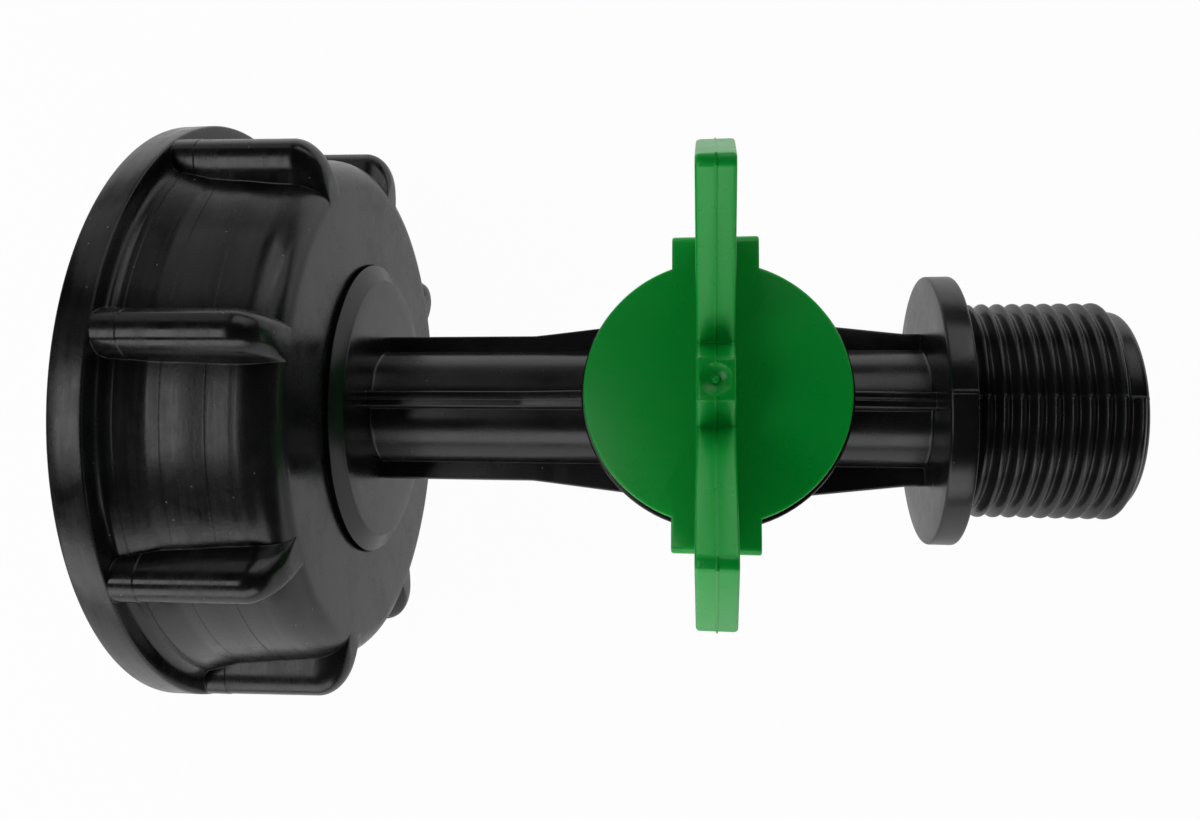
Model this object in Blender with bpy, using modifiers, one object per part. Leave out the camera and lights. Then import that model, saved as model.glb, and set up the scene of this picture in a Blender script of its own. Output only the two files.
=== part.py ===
"""Tank valve for an intermediate bulk container.

A loose coupling nut with a coarse 60 mm thread screws onto the tank's outlet and pulls the
valve's tail flange against a flat gasket. A quarter-turn butterfly handle turns a plug across
the pipe. The outlet ends in a 3/4 inch male pipe thread, plain here at its major diameter.

Metres, +X along the flow, +Z up through the handle. The origin is the centre of the gasket's
face that meets the tank. The valve stands closed, with the handle across the pipe.
"""
import math

import bmesh
import bpy
from mathutils import Matrix

MM = 0.001

# Fits and shared values
SEAT_GAP = 0.3 * MM
RUNNING_GAP = 0.3 * MM
CUT_OVERRUN = 1.0 * MM
MERGE_DISTANCE = 0.005 * MM

# Tank gasket, as wide as the tail flange
GASKET_THICKNESS = 3.0 * MM
GASKET_WIDTH = 8.2 * MM

# Valve body: tail that the nut holds
TAIL_FLANGE_THICKNESS = 3.5 * MM
TAIL_FLANGE_RADIUS = 27.2 * MM
HUB_RADIUS = 18.6 * MM
SNAP_BEAD_HEIGHT = 0.7 * MM
SNAP_BEAD_WIDTH = 0.3 * MM
COLLAR_PROJECTION = 1.5 * MM
COLLAR_FACE_DROP = 1.9 * MM
TAIL_WALL = 2.3 * MM
TAIL_WEB = 2.1 * MM
TAIL_FLOOR_SLOPE = 0.8 * MM

# Valve body: pipe, ribs and outlet
PIPE_RADIUS = 7.4 * MM
PIPE_BORE_RADIUS = 5.2 * MM
PIPE_FILLET = 0.4 * MM
CUP_FLOOR_EDGE = 1.6 * MM
RIB_HALF_HEIGHT = 9.6 * MM
RIB_THICKNESS = 2.0 * MM
RIB_FLARE_START = 23.3 * MM
RIB_FLARE_RISE = 1.9 * MM
HANDLE_DISTANCE = 56.0 * MM
OUTLET_FLANGE_DISTANCE = 25.6 * MM
OUTLET_FLANGE_THICKNESS = 3.1 * MM
OUTLET_FLANGE_RADIUS = 16.7 * MM
THREAD_MAJOR_RADIUS = 13.22 * MM
THREAD_LENGTH = 17.3 * MM
PILOT_RADIUS = 12.5 * MM
PILOT_LENGTH = 2.0 * MM
PILOT_CHAMFER = 0.8 * MM
OUTLET_BORE_RADIUS = 9.6 * MM
OUTLET_FLOOR_SLOPE = 2.6 * MM

# Valve body: barrel that holds the plug
CHAMBER_RADIUS = 12.7 * MM
CHAMBER_DEPTH = 12.6 * MM
BARREL_WALL = 1.7 * MM
BARREL_FLOOR = 2.0 * MM
BARREL_FOOT_CHAMFER = 0.8 * MM
BARREL_HEIGHT = 15.0 * MM
BARREL_RIM_HEIGHT = 2.0 * MM
BARREL_RIM_PROJECTION = 1.3 * MM
STOP_HEIGHT = 1.7 * MM
STOP_SINK = 0.5 * MM
STOP_RECESS = 0.2 * MM

# Coupling nut
NUT_FLANGE_PROJECTION = 4.0 * MM
NUT_FLANGE_THICKNESS = 4.1 * MM
NUT_FLANGE_FILLET = 2.9 * MM
NUT_MOUTH_REACH = 12.8 * MM
NUT_WALL_THICKNESS = 3.9 * MM
NUT_WALL_DRAFT = 0.9 * MM
NUT_CORNER_RADIUS = 3.8 * MM
NUT_THREAD_ROOM = 3.1 * MM
NUT_MOUTH_CHAMFER = 0.8 * MM
NUT_END_WALL = 3.0 * MM
NUT_EDGE_CHAMFER = 0.4 * MM
NUT_HOLE_CHAMFER = 0.6 * MM
LUG_COUNT = 8
LUG_FIRST_ANGLE = math.radians(6.0)
LUG_HEIGHT = 3.5 * MM
LUG_CREST_DRAFT = 0.5 * MM
LUG_CROWN_RADIUS = 3.2 * MM
LUG_CROWN_ANGLE = math.radians(20.0)
LUG_EDGE_RADIUS = 1.35 * MM
LUG_SIDE_DRAFT = math.radians(20.0)
LUG_END_RADIUS = 4.6 * MM
LUG_END_INSET = 0.1 * MM
LUG_NOSE_TAPER_SHARE = 0.35
LUG_ROOT_DEPTH = 1.4 * MM

# Handle
DISC_RADIUS = 15.2 * MM
DISC_THICKNESS = 2.0 * MM
TAB_WIDTH = 10.0 * MM
TAB_REACH = 18.3 * MM
HOOK_LEG_THICKNESS = 2.2 * MM
HOOK_CATCH_HEIGHT = 1.3 * MM
HOOK_CATCH_LEAD = 0.6 * MM
WING_THICKNESS = 4.3 * MM
WING_CREST_HEIGHT = 24.0 * MM
WING_CREST_INNER = 18.1 * MM
WING_CREST_OUTER = 19.3 * MM
WING_TIP_REACH = 25.7 * MM
WING_TIP_HEIGHT = 11.3 * MM
WING_ROOT_REACH = 17.6 * MM
WING_SADDLE_HALF_LENGTH = 2.3 * MM
WING_SADDLE_HEIGHT = 9.1 * MM
WING_NOTCH_REACH = 4.6 * MM
WING_NOTCH_HEIGHT = 5.1 * MM
GATE_DIMPLE_RADIUS = 1.7 * MM
GATE_DIMPLE_DEPTH = 0.7 * MM
TONGUE_WIDTH = 5.0 * MM
TONGUE_LENGTH = 14.0 * MM
TONGUE_DEPTH = 6.0 * MM

# Plug
PLUG_BORE_RADIUS = 5.2 * MM
PLUG_WALL = 3.0 * MM
PLUG_FLOOR = 3.4 * MM
PLUG_SLOT_SHOULDER = 2.0 * MM
SEAL_CLEARANCE = 0.1 * MM
O_RING_SECTION_RADIUS = 0.8 * MM
PORT_SEAL_MARGIN = 1.2 * MM
PORT_SEAL_WIDTH = 1.6 * MM
PORT_SEAL_DEPTH = 1.4 * MM

# Facets
NUT_STEPS = 64
BODY_STEPS = 48
RING_STEPS = 40
RING_SECTION_STEPS = 6
ARC_STEPS = 4
SMOOTH_ANGLE = math.radians(30.0)

# Derived radii of the gasket and the nut
GASKET_OUTER_RADIUS = TAIL_FLANGE_RADIUS
GASKET_INNER_RADIUS = GASKET_OUTER_RADIUS - GASKET_WIDTH
NUT_BORE_RADIUS = TAIL_FLANGE_RADIUS + NUT_THREAD_ROOM
NUT_WALL_RADIUS = NUT_BORE_RADIUS + NUT_WALL_THICKNESS
NUT_FLANGE_RADIUS = NUT_WALL_RADIUS + NUT_FLANGE_PROJECTION
LUG_CREST_RADIUS = NUT_WALL_RADIUS + LUG_HEIGHT

# Derived places along the pipe
TAIL_FRONT = GASKET_THICKNESS + SEAT_GAP
TAIL_BACK = TAIL_FRONT + TAIL_FLANGE_THICKNESS
NUT_WALL_INNER = TAIL_BACK + SEAT_GAP
NUT_FACE = NUT_WALL_INNER + NUT_END_WALL
NUT_MOUTH = -NUT_MOUTH_REACH
BEAD_START = NUT_FACE + SEAT_GAP
COLLAR_FACE = BEAD_START + COLLAR_PROJECTION
OUTLET_FLANGE_BACK = HANDLE_DISTANCE + OUTLET_FLANGE_DISTANCE
OUTLET_FLANGE_FACE = OUTLET_FLANGE_BACK + OUTLET_FLANGE_THICKNESS
THREAD_END = OUTLET_FLANGE_FACE + THREAD_LENGTH
OUTLET_END = THREAD_END + PILOT_LENGTH

# Derived sizes of the barrel, plug and handle
NUT_HOLE_RADIUS = HUB_RADIUS + RUNNING_GAP
TAIL_CUP_RADIUS = HUB_RADIUS - TAIL_WALL
BARREL_RADIUS = CHAMBER_RADIUS + BARREL_WALL
BARREL_RIM_RADIUS = BARREL_RADIUS + BARREL_RIM_PROJECTION
RIM_UNDERSIDE = BARREL_HEIGHT - BARREL_RIM_HEIGHT
DISC_UNDERSIDE = BARREL_HEIGHT + SEAT_GAP
DISC_TOP = DISC_UNDERSIDE + DISC_THICKNESS
HOOK_TOP = RIM_UNDERSIDE - RUNNING_GAP
HOOK_FOOT = HOOK_TOP - HOOK_CATCH_HEIGHT
HOOK_LEG_INNER = TAB_REACH - HOOK_LEG_THICKNESS
PLUG_RADIUS = CHAMBER_RADIUS - RUNNING_GAP
PLUG_BOTTOM = RUNNING_GAP - CHAMBER_DEPTH
PLUG_TOP = BARREL_HEIGHT
O_RING_RADIUS = CHAMBER_RADIUS - SEAL_CLEARANCE - O_RING_SECTION_RADIUS
O_RING_GROOVE_RADIUS = O_RING_RADIUS - O_RING_SECTION_RADIUS - SEAL_CLEARANCE
O_RING_GROOVE_HALF = O_RING_SECTION_RADIUS + SEAL_CLEARANCE
PORT_SEAL_REACH = PLUG_BORE_RADIUS + PORT_SEAL_MARGIN + PORT_SEAL_WIDTH
O_RING_UPPER = (PLUG_TOP + PORT_SEAL_REACH) / 2
O_RING_LOWER = (PLUG_BOTTOM - PORT_SEAL_REACH) / 2


def clear_scene():
    for obj in list(bpy.data.objects):
        bpy.data.objects.remove(obj, do_unlink=True)


def new_collection(name):
    collection = bpy.data.collections.new(name)
    bpy.context.scene.collection.children.link(collection)
    return collection


def plastic(name, color, roughness):
    """A Principled material in one linear colour."""
    material = bpy.data.materials.new(name)
    material.use_nodes = True
    shader = material.node_tree.nodes["Principled BSDF"]
    shader.inputs["Base Color"].default_value = (*color, 1.0)
    shader.inputs["Roughness"].default_value = roughness
    shader.inputs["Metallic"].default_value = 0.0
    return material


def as_tool(obj, tools):
    """Keep a cutter or an operand out of the part."""
    for collection in list(obj.users_collection):
        collection.objects.unlink(obj)
    tools.objects.link(obj)
    obj.hide_render = True
    obj.display_type = 'WIRE'
    return obj


def combine(target, tool, operation):
    modifier = target.modifiers.new(operation.title(), 'BOOLEAN')
    modifier.object = tool
    modifier.operation = operation
    modifier.solver = 'EXACT'


def turned(name, points, steps, collection, parent=None, along_pipe=False, closed=False):
    """Turn a profile of (radius, height) points, listed from the top down its outer side."""
    mesh = bpy.data.meshes.new(name)
    edges = [(i, i + 1) for i in range(len(points) - 1)]
    if closed:
        edges.append((len(points) - 1, 0))
    mesh.from_pydata([(radius, 0.0, height) for radius, height in points], edges, [])
    obj = bpy.data.objects.new(name, mesh)
    collection.objects.link(obj)
    obj.parent = parent
    if along_pipe:
        obj.rotation_euler = (0.0, math.pi / 2, 0.0)
    screw = obj.modifiers.new("Turn", 'SCREW')
    screw.axis = 'Z'
    screw.angle = 2 * math.pi
    screw.steps = steps
    screw.render_steps = steps
    screw.use_merge_vertices = True
    screw.merge_threshold = MERGE_DISTANCE
    screw.use_smooth_shade = True
    return obj


def cylinder(name, radius, bottom, top, steps, tools, parent=None, axis='Z'):
    """A plain cylinder primitive used as a cutter, from bottom to top along an axis."""
    bpy.ops.mesh.primitive_cylinder_add(vertices=steps, radius=radius, depth=top - bottom)
    obj = bpy.context.object
    obj.name = name
    middle = (bottom + top) / 2
    obj.parent = parent
    if axis == 'X':
        obj.rotation_euler = (0.0, math.pi / 2, 0.0)
        obj.location = (middle, 0.0, 0.0)
    elif axis == 'Y':
        obj.rotation_euler = (math.pi / 2, 0.0, 0.0)
        obj.location = (0.0, middle, 0.0)
    else:
        obj.location = (0.0, 0.0, middle)
    return as_tool(obj, tools)


def block(name, half_x, half_y, bottom, top, tools, parent=None):
    """A box primitive used as a cutter or an operand."""
    bpy.ops.mesh.primitive_cube_add(size=1.0)
    obj = bpy.context.object
    obj.name = name
    size = Matrix.Diagonal((2 * half_x, 2 * half_y, top - bottom, 1.0))
    obj.data.transform(size)
    obj.parent = parent
    obj.location = (0.0, 0.0, (bottom + top) / 2)
    return as_tool(obj, tools)


def flat_outline(name, points, half_thickness, collection, parent=None, rotation=(0.0, 0.0, 0.0)):
    """Extrude a flat outline both ways from its plane, as a mesh."""
    curve = bpy.data.curves.new(name, 'CURVE')
    curve.dimensions = '2D'
    curve.fill_mode = 'BOTH'
    curve.extrude = half_thickness
    spline = curve.splines.new('POLY')
    spline.points.add(len(points) - 1)
    for point, (x, y) in zip(spline.points, points):
        point.co = (x, y, 0.0, 1.0)
    spline.use_cyclic_u = True
    drawn = bpy.data.objects.new(name + "_outline", curve)
    bpy.context.scene.collection.objects.link(drawn)
    drawn.parent = parent
    drawn.rotation_euler = rotation
    bpy.context.view_layer.update()
    evaluated = drawn.evaluated_get(bpy.context.evaluated_depsgraph_get())
    mesh = bpy.data.meshes.new_from_object(evaluated)
    faces = bmesh.new()
    faces.from_mesh(mesh)
    bmesh.ops.remove_doubles(faces, verts=faces.verts, dist=MERGE_DISTANCE)
    bmesh.ops.recalc_face_normals(faces, faces=faces.faces)
    faces.to_mesh(mesh)
    faces.free()
    obj = bpy.data.objects.new(name, mesh)
    collection.objects.link(obj)
    obj.parent = parent
    obj.rotation_euler = rotation
    bpy.data.objects.remove(drawn, do_unlink=True)
    return obj


def arc(center, radius, start, end, steps):
    """Points on an arc, both ends included, angles in radians."""
    sweep = (end - start) / steps
    return [(center[0] + radius * math.cos(start + i * sweep),
             center[1] + radius * math.sin(start + i * sweep)) for i in range(steps + 1)]


def lofted(name, sections, collection):
    """A closed solid skinned through sections that have the same number of points."""
    count = len(sections[0])
    verts = [point for section in sections for point in section]
    faces = [list(range(count)), [len(verts) - 1 - i for i in range(count)]]
    for row in range(len(sections) - 1):
        for i in range(count):
            here = row * count + i
            beside = row * count + (i + 1) % count
            faces.append([here, here + count, beside + count, beside])
    mesh = bpy.data.meshes.new(name)
    mesh.from_pydata(verts, [], faces)
    shape = bmesh.new()
    shape.from_mesh(mesh)
    bmesh.ops.recalc_face_normals(shape, faces=shape.faces)
    shape.to_mesh(mesh)
    shape.free()
    obj = bpy.data.objects.new(name, mesh)
    collection.objects.link(obj)
    return obj


def finish(obj, material):
    """Settle a piece's modifiers into its mesh, smooth its round sides and give it its finish."""
    bpy.context.view_layer.update()
    evaluated = obj.evaluated_get(bpy.context.evaluated_depsgraph_get())
    mesh = bpy.data.meshes.new_from_object(evaluated)
    faces = bmesh.new()
    faces.from_mesh(mesh)
    bmesh.ops.remove_doubles(faces, verts=faces.verts, dist=MERGE_DISTANCE)
    bmesh.ops.dissolve_degenerate(faces, edges=faces.edges, dist=MERGE_DISTANCE)
    faces.to_mesh(mesh)
    faces.free()
    mesh.materials.clear()
    mesh.materials.append(material)
    mesh.shade_smooth()
    mesh.set_sharp_from_angle(angle=SMOOTH_ANGLE)
    obj.modifiers.clear()
    obj.data = mesh


def make_gasket(parts, rubber):
    """The flat ring that seals the tail flange to the tank's neck."""
    profile = [
        (GASKET_INNER_RADIUS, GASKET_THICKNESS),
        (GASKET_OUTER_RADIUS, GASKET_THICKNESS),
        (GASKET_OUTER_RADIUS, 0.0),
        (GASKET_INNER_RADIUS, 0.0),
    ]
    gasket = turned("tank_gasket", profile, BODY_STEPS, parts, along_pipe=True, closed=True)
    finish(gasket, rubber)


def body_profile():
    """The valve body's outer side from the outlet to the tank, with both hollow ends."""
    pipe_end = OUTLET_FLANGE_BACK - PIPE_FILLET
    pipe_start = COLLAR_FACE + PIPE_FILLET
    fillet_radius = PIPE_RADIUS + PIPE_FILLET
    bead_radius = HUB_RADIUS + SNAP_BEAD_HEIGHT
    outlet_fillet = arc((pipe_end, fillet_radius), PIPE_FILLET, 0.0, -math.pi / 2, ARC_STEPS)
    collar_fillet = arc((pipe_start, fillet_radius), PIPE_FILLET, -math.pi / 2, -math.pi, ARC_STEPS)
    cup_floor = COLLAR_FACE - TAIL_WEB
    outlet_floor = OUTLET_FLANGE_BACK + OUTLET_FLANGE_THICKNESS / 2
    points = [
        (0.0, outlet_floor),
        (PIPE_BORE_RADIUS + SEAT_GAP, outlet_floor),
        (OUTLET_BORE_RADIUS, outlet_floor + OUTLET_FLOOR_SLOPE),
        (OUTLET_BORE_RADIUS, OUTLET_END),
        (PILOT_RADIUS - PILOT_CHAMFER, OUTLET_END),
        (PILOT_RADIUS, OUTLET_END - PILOT_CHAMFER),
        (PILOT_RADIUS, THREAD_END),
        (THREAD_MAJOR_RADIUS, THREAD_END - PILOT_CHAMFER),
        (THREAD_MAJOR_RADIUS, OUTLET_FLANGE_FACE),
        (OUTLET_FLANGE_RADIUS, OUTLET_FLANGE_FACE),
        (OUTLET_FLANGE_RADIUS, OUTLET_FLANGE_BACK),
    ]
    points += [(radius, x) for x, radius in outlet_fillet]
    points += [(radius, x) for x, radius in collar_fillet]
    points += [
        (bead_radius - COLLAR_FACE_DROP, COLLAR_FACE),
        (bead_radius, BEAD_START + SNAP_BEAD_WIDTH),
        (bead_radius, BEAD_START),
        (HUB_RADIUS, BEAD_START),
        (HUB_RADIUS, TAIL_BACK),
        (TAIL_FLANGE_RADIUS, TAIL_BACK),
        (TAIL_FLANGE_RADIUS, TAIL_FRONT),
        (TAIL_CUP_RADIUS, TAIL_FRONT),
        (TAIL_CUP_RADIUS, cup_floor - TAIL_FLOOR_SLOPE),
        (PIPE_BORE_RADIUS + CUP_FLOOR_EDGE, cup_floor),
        (0.0, cup_floor),
    ]
    return points


def rib_sections():
    """Sections across a pair of ribs, which flare evenly where they run into the barrel."""
    inside_barrel = BARREL_RADIUS / 2
    flared = RIB_HALF_HEIGHT + RIB_FLARE_RISE
    stations = [
        (COLLAR_FACE - TAIL_WEB / 2, RIB_HALF_HEIGHT),
        (HANDLE_DISTANCE - RIB_FLARE_START, RIB_HALF_HEIGHT),
        (HANDLE_DISTANCE - inside_barrel, flared),
        (HANDLE_DISTANCE + inside_barrel, flared),
        (HANDLE_DISTANCE + RIB_FLARE_START, RIB_HALF_HEIGHT),
        (OUTLET_FLANGE_BACK + OUTLET_FLANGE_THICKNESS / 4, RIB_HALF_HEIGHT),
    ]
    half = RIB_THICKNESS / 2
    return [[(x, -half, -height), (x, half, -height), (x, half, height), (x, -half, height)]
            for x, height in stations]


def stop_outline():
    """One arc block under the barrel's rim that the hooks turn against."""
    catch_side = TAB_WIDTH / 2 + RUNNING_GAP
    inner = BARREL_RADIUS - STOP_SINK
    outer = BARREL_RIM_RADIUS - STOP_RECESS
    start = math.asin(catch_side / BARREL_RADIUS)
    end = math.pi / 2 - start
    outside = arc((0.0, 0.0), outer, start, end, 2 * ARC_STEPS)
    inside = arc((0.0, 0.0), inner, end, start, 2 * ARC_STEPS)
    return outside + inside


def make_body(parts, tools, spindle, plastic_black):
    """The one-piece moulding that carries everything else."""
    body = turned("valve_body", body_profile(), BODY_STEPS, parts, along_pipe=True)
    for name, turn in (("rib_plate_upright", 0.0), ("rib_plate_level", math.pi / 2)):
        plate = lofted(name, rib_sections(), tools)
        plate.rotation_euler = (turn, 0.0, 0.0)
        combine(body, as_tool(plate, tools), 'UNION')
    foot = -CHAMBER_DEPTH - BARREL_FLOOR
    barrel_profile = [
        (0.0, BARREL_HEIGHT),
        (BARREL_RIM_RADIUS, BARREL_HEIGHT),
        (BARREL_RIM_RADIUS, RIM_UNDERSIDE),
        (BARREL_RADIUS, RIM_UNDERSIDE),
        (BARREL_RADIUS, foot + BARREL_FOOT_CHAMFER),
        (BARREL_RADIUS - BARREL_FOOT_CHAMFER, foot),
        (0.0, foot),
    ]
    barrel = turned("barrel", barrel_profile, BODY_STEPS, tools, parent=spindle)
    combine(body, as_tool(barrel, tools), 'UNION')
    for name, turn in (("stop_block_front", 0.0), ("stop_block_rear", math.pi)):
        half = (STOP_HEIGHT + STOP_SINK) / 2
        stop = flat_outline(name, stop_outline(), half, tools, parent=spindle, rotation=(0.0, 0.0, turn))
        stop.location = (0.0, 0.0, RIM_UNDERSIDE - STOP_HEIGHT + half)
        combine(body, as_tool(stop, tools), 'UNION')
    chamber = cylinder("chamber", CHAMBER_RADIUS, -CHAMBER_DEPTH, BARREL_HEIGHT + CUT_OVERRUN,
                       BODY_STEPS, tools, parent=spindle)
    chamber.rotation_euler = (0.0, 0.0, math.pi / BODY_STEPS)
    combine(body, chamber, 'DIFFERENCE')
    bore = cylinder("pipe_bore", PIPE_BORE_RADIUS, TAIL_FRONT, OUTLET_END, BODY_STEPS, tools, axis='X')
    combine(body, bore, 'DIFFERENCE')
    finish(body, plastic_black)


def nut_profile():
    """The coupling nut's section, a closed loop from its hole round its outside."""
    wall_end = NUT_WALL_RADIUS - NUT_WALL_DRAFT
    corner_center = (NUT_FACE - NUT_CORNER_RADIUS, wall_end - NUT_CORNER_RADIUS)
    corner = arc(corner_center, NUT_CORNER_RADIUS, 0.0, math.pi / 2, ARC_STEPS)
    flange_inner = NUT_MOUTH + NUT_FLANGE_THICKNESS
    fillet_center = (flange_inner + NUT_FLANGE_FILLET, NUT_WALL_RADIUS + NUT_FLANGE_FILLET)
    fillet = arc(fillet_center, NUT_FLANGE_FILLET, -math.pi / 2, -math.pi, ARC_STEPS)
    points = [
        (NUT_HOLE_RADIUS, NUT_FACE - NUT_HOLE_CHAMFER),
        (NUT_HOLE_RADIUS + NUT_HOLE_CHAMFER, NUT_FACE),
    ]
    points += [(radius, x) for x, radius in corner + fillet]
    points += [
        (NUT_FLANGE_RADIUS - NUT_EDGE_CHAMFER, flange_inner),
        (NUT_FLANGE_RADIUS, flange_inner - NUT_EDGE_CHAMFER),
        (NUT_FLANGE_RADIUS, NUT_MOUTH + NUT_EDGE_CHAMFER),
        (NUT_FLANGE_RADIUS - NUT_EDGE_CHAMFER, NUT_MOUTH),
        (NUT_BORE_RADIUS + NUT_MOUTH_CHAMFER, NUT_MOUTH),
        (NUT_BORE_RADIUS, NUT_MOUTH + NUT_MOUTH_CHAMFER),
        (NUT_BORE_RADIUS, NUT_WALL_INNER),
        (NUT_HOLE_RADIUS, NUT_WALL_INNER),
    ]
    return points


def lug_sections():
    """Sections across a crowned lug from the flange to its tapered nose: x, side, radius."""
    root = NUT_BORE_RADIUS + LUG_ROOT_DEPTH
    start = NUT_MOUTH + NUT_FLANGE_THICKNESS / 2
    end = NUT_FACE - LUG_END_INSET
    low = NUT_WALL_RADIUS - NUT_WALL_DRAFT - NUT_CORNER_RADIUS + LUG_END_INSET
    round_center = (end - LUG_END_RADIUS, LUG_CREST_RADIUS - LUG_CREST_DRAFT - LUG_END_RADIUS)
    stations = [(start, LUG_CREST_RADIUS, root, 1.0)]
    for x, crest in arc(round_center, LUG_END_RADIUS, math.pi / 2, 0.0, ARC_STEPS):
        fall = (x - round_center[0]) / LUG_END_RADIUS
        width_share = 1.0 - LUG_NOSE_TAPER_SHARE * fall ** 2
        stations.append((x, crest, root + (low - root) * fall, width_share))
    sections = []
    shift = LUG_CROWN_RADIUS - LUG_EDGE_RADIUS
    for x, crest, foot, width_share in stations:
        edge_center = (shift * math.sin(LUG_CROWN_ANGLE),
                       crest - LUG_CROWN_RADIUS + shift * math.cos(LUG_CROWN_ANGLE))
        right = arc(edge_center, LUG_EDGE_RADIUS, math.pi / 2 - LUG_CROWN_ANGLE, LUG_SIDE_DRAFT,
                    ARC_STEPS // 2)
        side, radius = right[-1]
        right.append((side + (radius - foot) * math.tan(LUG_SIDE_DRAFT), foot))
        left = [(-side, radius) for side, radius in reversed(right)]
        loop = left + [(0.0, crest)] + right
        sections.append([(x, side * width_share, radius) for side, radius in loop])
    return sections


def make_nut(parts, tools, plastic_black):
    """The loose nut with its flange, eight grip lugs and rounded end."""
    nut = turned("coupling_nut", nut_profile(), NUT_STEPS, parts, along_pipe=True, closed=True)
    for number in range(LUG_COUNT):
        angle = LUG_FIRST_ANGLE + 2 * math.pi * number / LUG_COUNT
        lug = lofted(f"nut_lug_{number + 1}", lug_sections(), tools)
        lug.rotation_euler = (-angle, 0.0, 0.0)
        combine(nut, as_tool(lug, tools), 'UNION')
    finish(nut, plastic_black)


def disc_outline():
    """The handle's disc with its two tabs, seen from above."""
    half = TAB_WIDTH / 2
    corner = math.acos(half / DISC_RADIUS)
    right = arc((0.0, 0.0), DISC_RADIUS, -corner, corner, 5 * ARC_STEPS)
    left = [(-x, -y) for x, y in right]
    top_tab = [(half, TAB_REACH), (-half, TAB_REACH)]
    bottom_tab = [(-half, -TAB_REACH), (half, -TAB_REACH)]
    return right + top_tab + left + bottom_tab


def wing_outline():
    """The butterfly fin seen along the pipe: x across the handle, y up from the disc."""
    half = [
        (WING_SADDLE_HALF_LENGTH, WING_SADDLE_HEIGHT),
        (WING_NOTCH_REACH, WING_NOTCH_HEIGHT),
        (WING_CREST_INNER, WING_CREST_HEIGHT),
        (WING_CREST_OUTER, WING_CREST_HEIGHT),
        (WING_TIP_REACH, WING_TIP_HEIGHT),
        (WING_ROOT_REACH, 0.0),
    ]
    right = [(reach, DISC_TOP + height) for reach, height in half]
    sunk = DISC_TOP - DISC_THICKNESS / 2
    foot = [(WING_ROOT_REACH, sunk), (-WING_ROOT_REACH, sunk)]
    left = [(-reach, height) for reach, height in reversed(right)]
    return right + foot + left


def hook_outline():
    """One snap leg seen along the pipe: x outward, y up, with its catch under the rim."""
    sunk = DISC_TOP - DISC_THICKNESS / 4
    catch = BARREL_RADIUS + RUNNING_GAP / 2
    return [
        (HOOK_LEG_INNER, sunk),
        (TAB_REACH, sunk),
        (TAB_REACH, HOOK_FOOT),
        (catch + HOOK_CATCH_LEAD, HOOK_FOOT),
        (catch, HOOK_FOOT + HOOK_CATCH_LEAD),
        (catch, HOOK_TOP),
        (HOOK_LEG_INNER, HOOK_TOP),
    ]


def make_handle(parts, tools, spindle, plastic_green):
    """The quarter-turn handle: disc, snap hooks, butterfly fin and drive tongue."""
    handle = flat_outline("handle", disc_outline(), DISC_THICKNESS / 2, parts, parent=spindle)
    handle.data.transform(Matrix.Translation((0.0, 0.0, DISC_UNDERSIDE + DISC_THICKNESS / 2)))
    upright = (math.pi / 2, 0.0, math.pi / 2)
    wing = flat_outline("wing", wing_outline(), WING_THICKNESS / 2, tools, spindle, upright)
    combine(handle, as_tool(wing, tools), 'UNION')
    for name, turn in (("hook_left", math.pi / 2), ("hook_right", -math.pi / 2)):
        rotation = (math.pi / 2, 0.0, turn)
        hook = flat_outline(name, hook_outline(), TAB_WIDTH / 2, tools, spindle, rotation)
        combine(handle, as_tool(hook, tools), 'UNION')
    tongue = block("tongue", TONGUE_WIDTH / 2, TONGUE_LENGTH / 2, DISC_UNDERSIDE - TONGUE_DEPTH,
                   DISC_UNDERSIDE + DISC_THICKNESS / 2, tools, parent=spindle)
    combine(handle, tongue, 'UNION')
    catch_round = cylinder("catch_round", BARREL_RADIUS + RUNNING_GAP, HOOK_FOOT - CUT_OVERRUN,
                           HOOK_TOP + RUNNING_GAP, BODY_STEPS, tools, parent=spindle)
    tongue_keep = cylinder("tongue_keep", CHAMBER_RADIUS, HOOK_FOOT - 2 * CUT_OVERRUN,
                           HOOK_TOP + CUT_OVERRUN, BODY_STEPS, tools, parent=spindle)
    combine(catch_round, tongue_keep, 'DIFFERENCE')
    combine(handle, catch_round, 'DIFFERENCE')
    saddle = DISC_TOP + WING_SADDLE_HEIGHT
    dimple = cylinder("gate_dimple", GATE_DIMPLE_RADIUS, saddle - GATE_DIMPLE_DEPTH,
                      saddle + CUT_OVERRUN, 4 * ARC_STEPS, tools, parent=spindle)
    combine(handle, dimple, 'DIFFERENCE')
    finish(handle, plastic_green)


def plug_profile():
    """The plug's outer side with its two O-ring grooves."""
    points = [(0.0, PLUG_TOP), (PLUG_RADIUS, PLUG_TOP)]
    for middle in (O_RING_UPPER, O_RING_LOWER):
        points += [
            (PLUG_RADIUS, middle + O_RING_GROOVE_HALF),
            (O_RING_GROOVE_RADIUS, middle + O_RING_GROOVE_HALF),
            (O_RING_GROOVE_RADIUS, middle - O_RING_GROOVE_HALF),
            (PLUG_RADIUS, middle - O_RING_GROOVE_HALF),
        ]
    points += [(PLUG_RADIUS, PLUG_BOTTOM), (0.0, PLUG_BOTTOM)]
    return points


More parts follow.
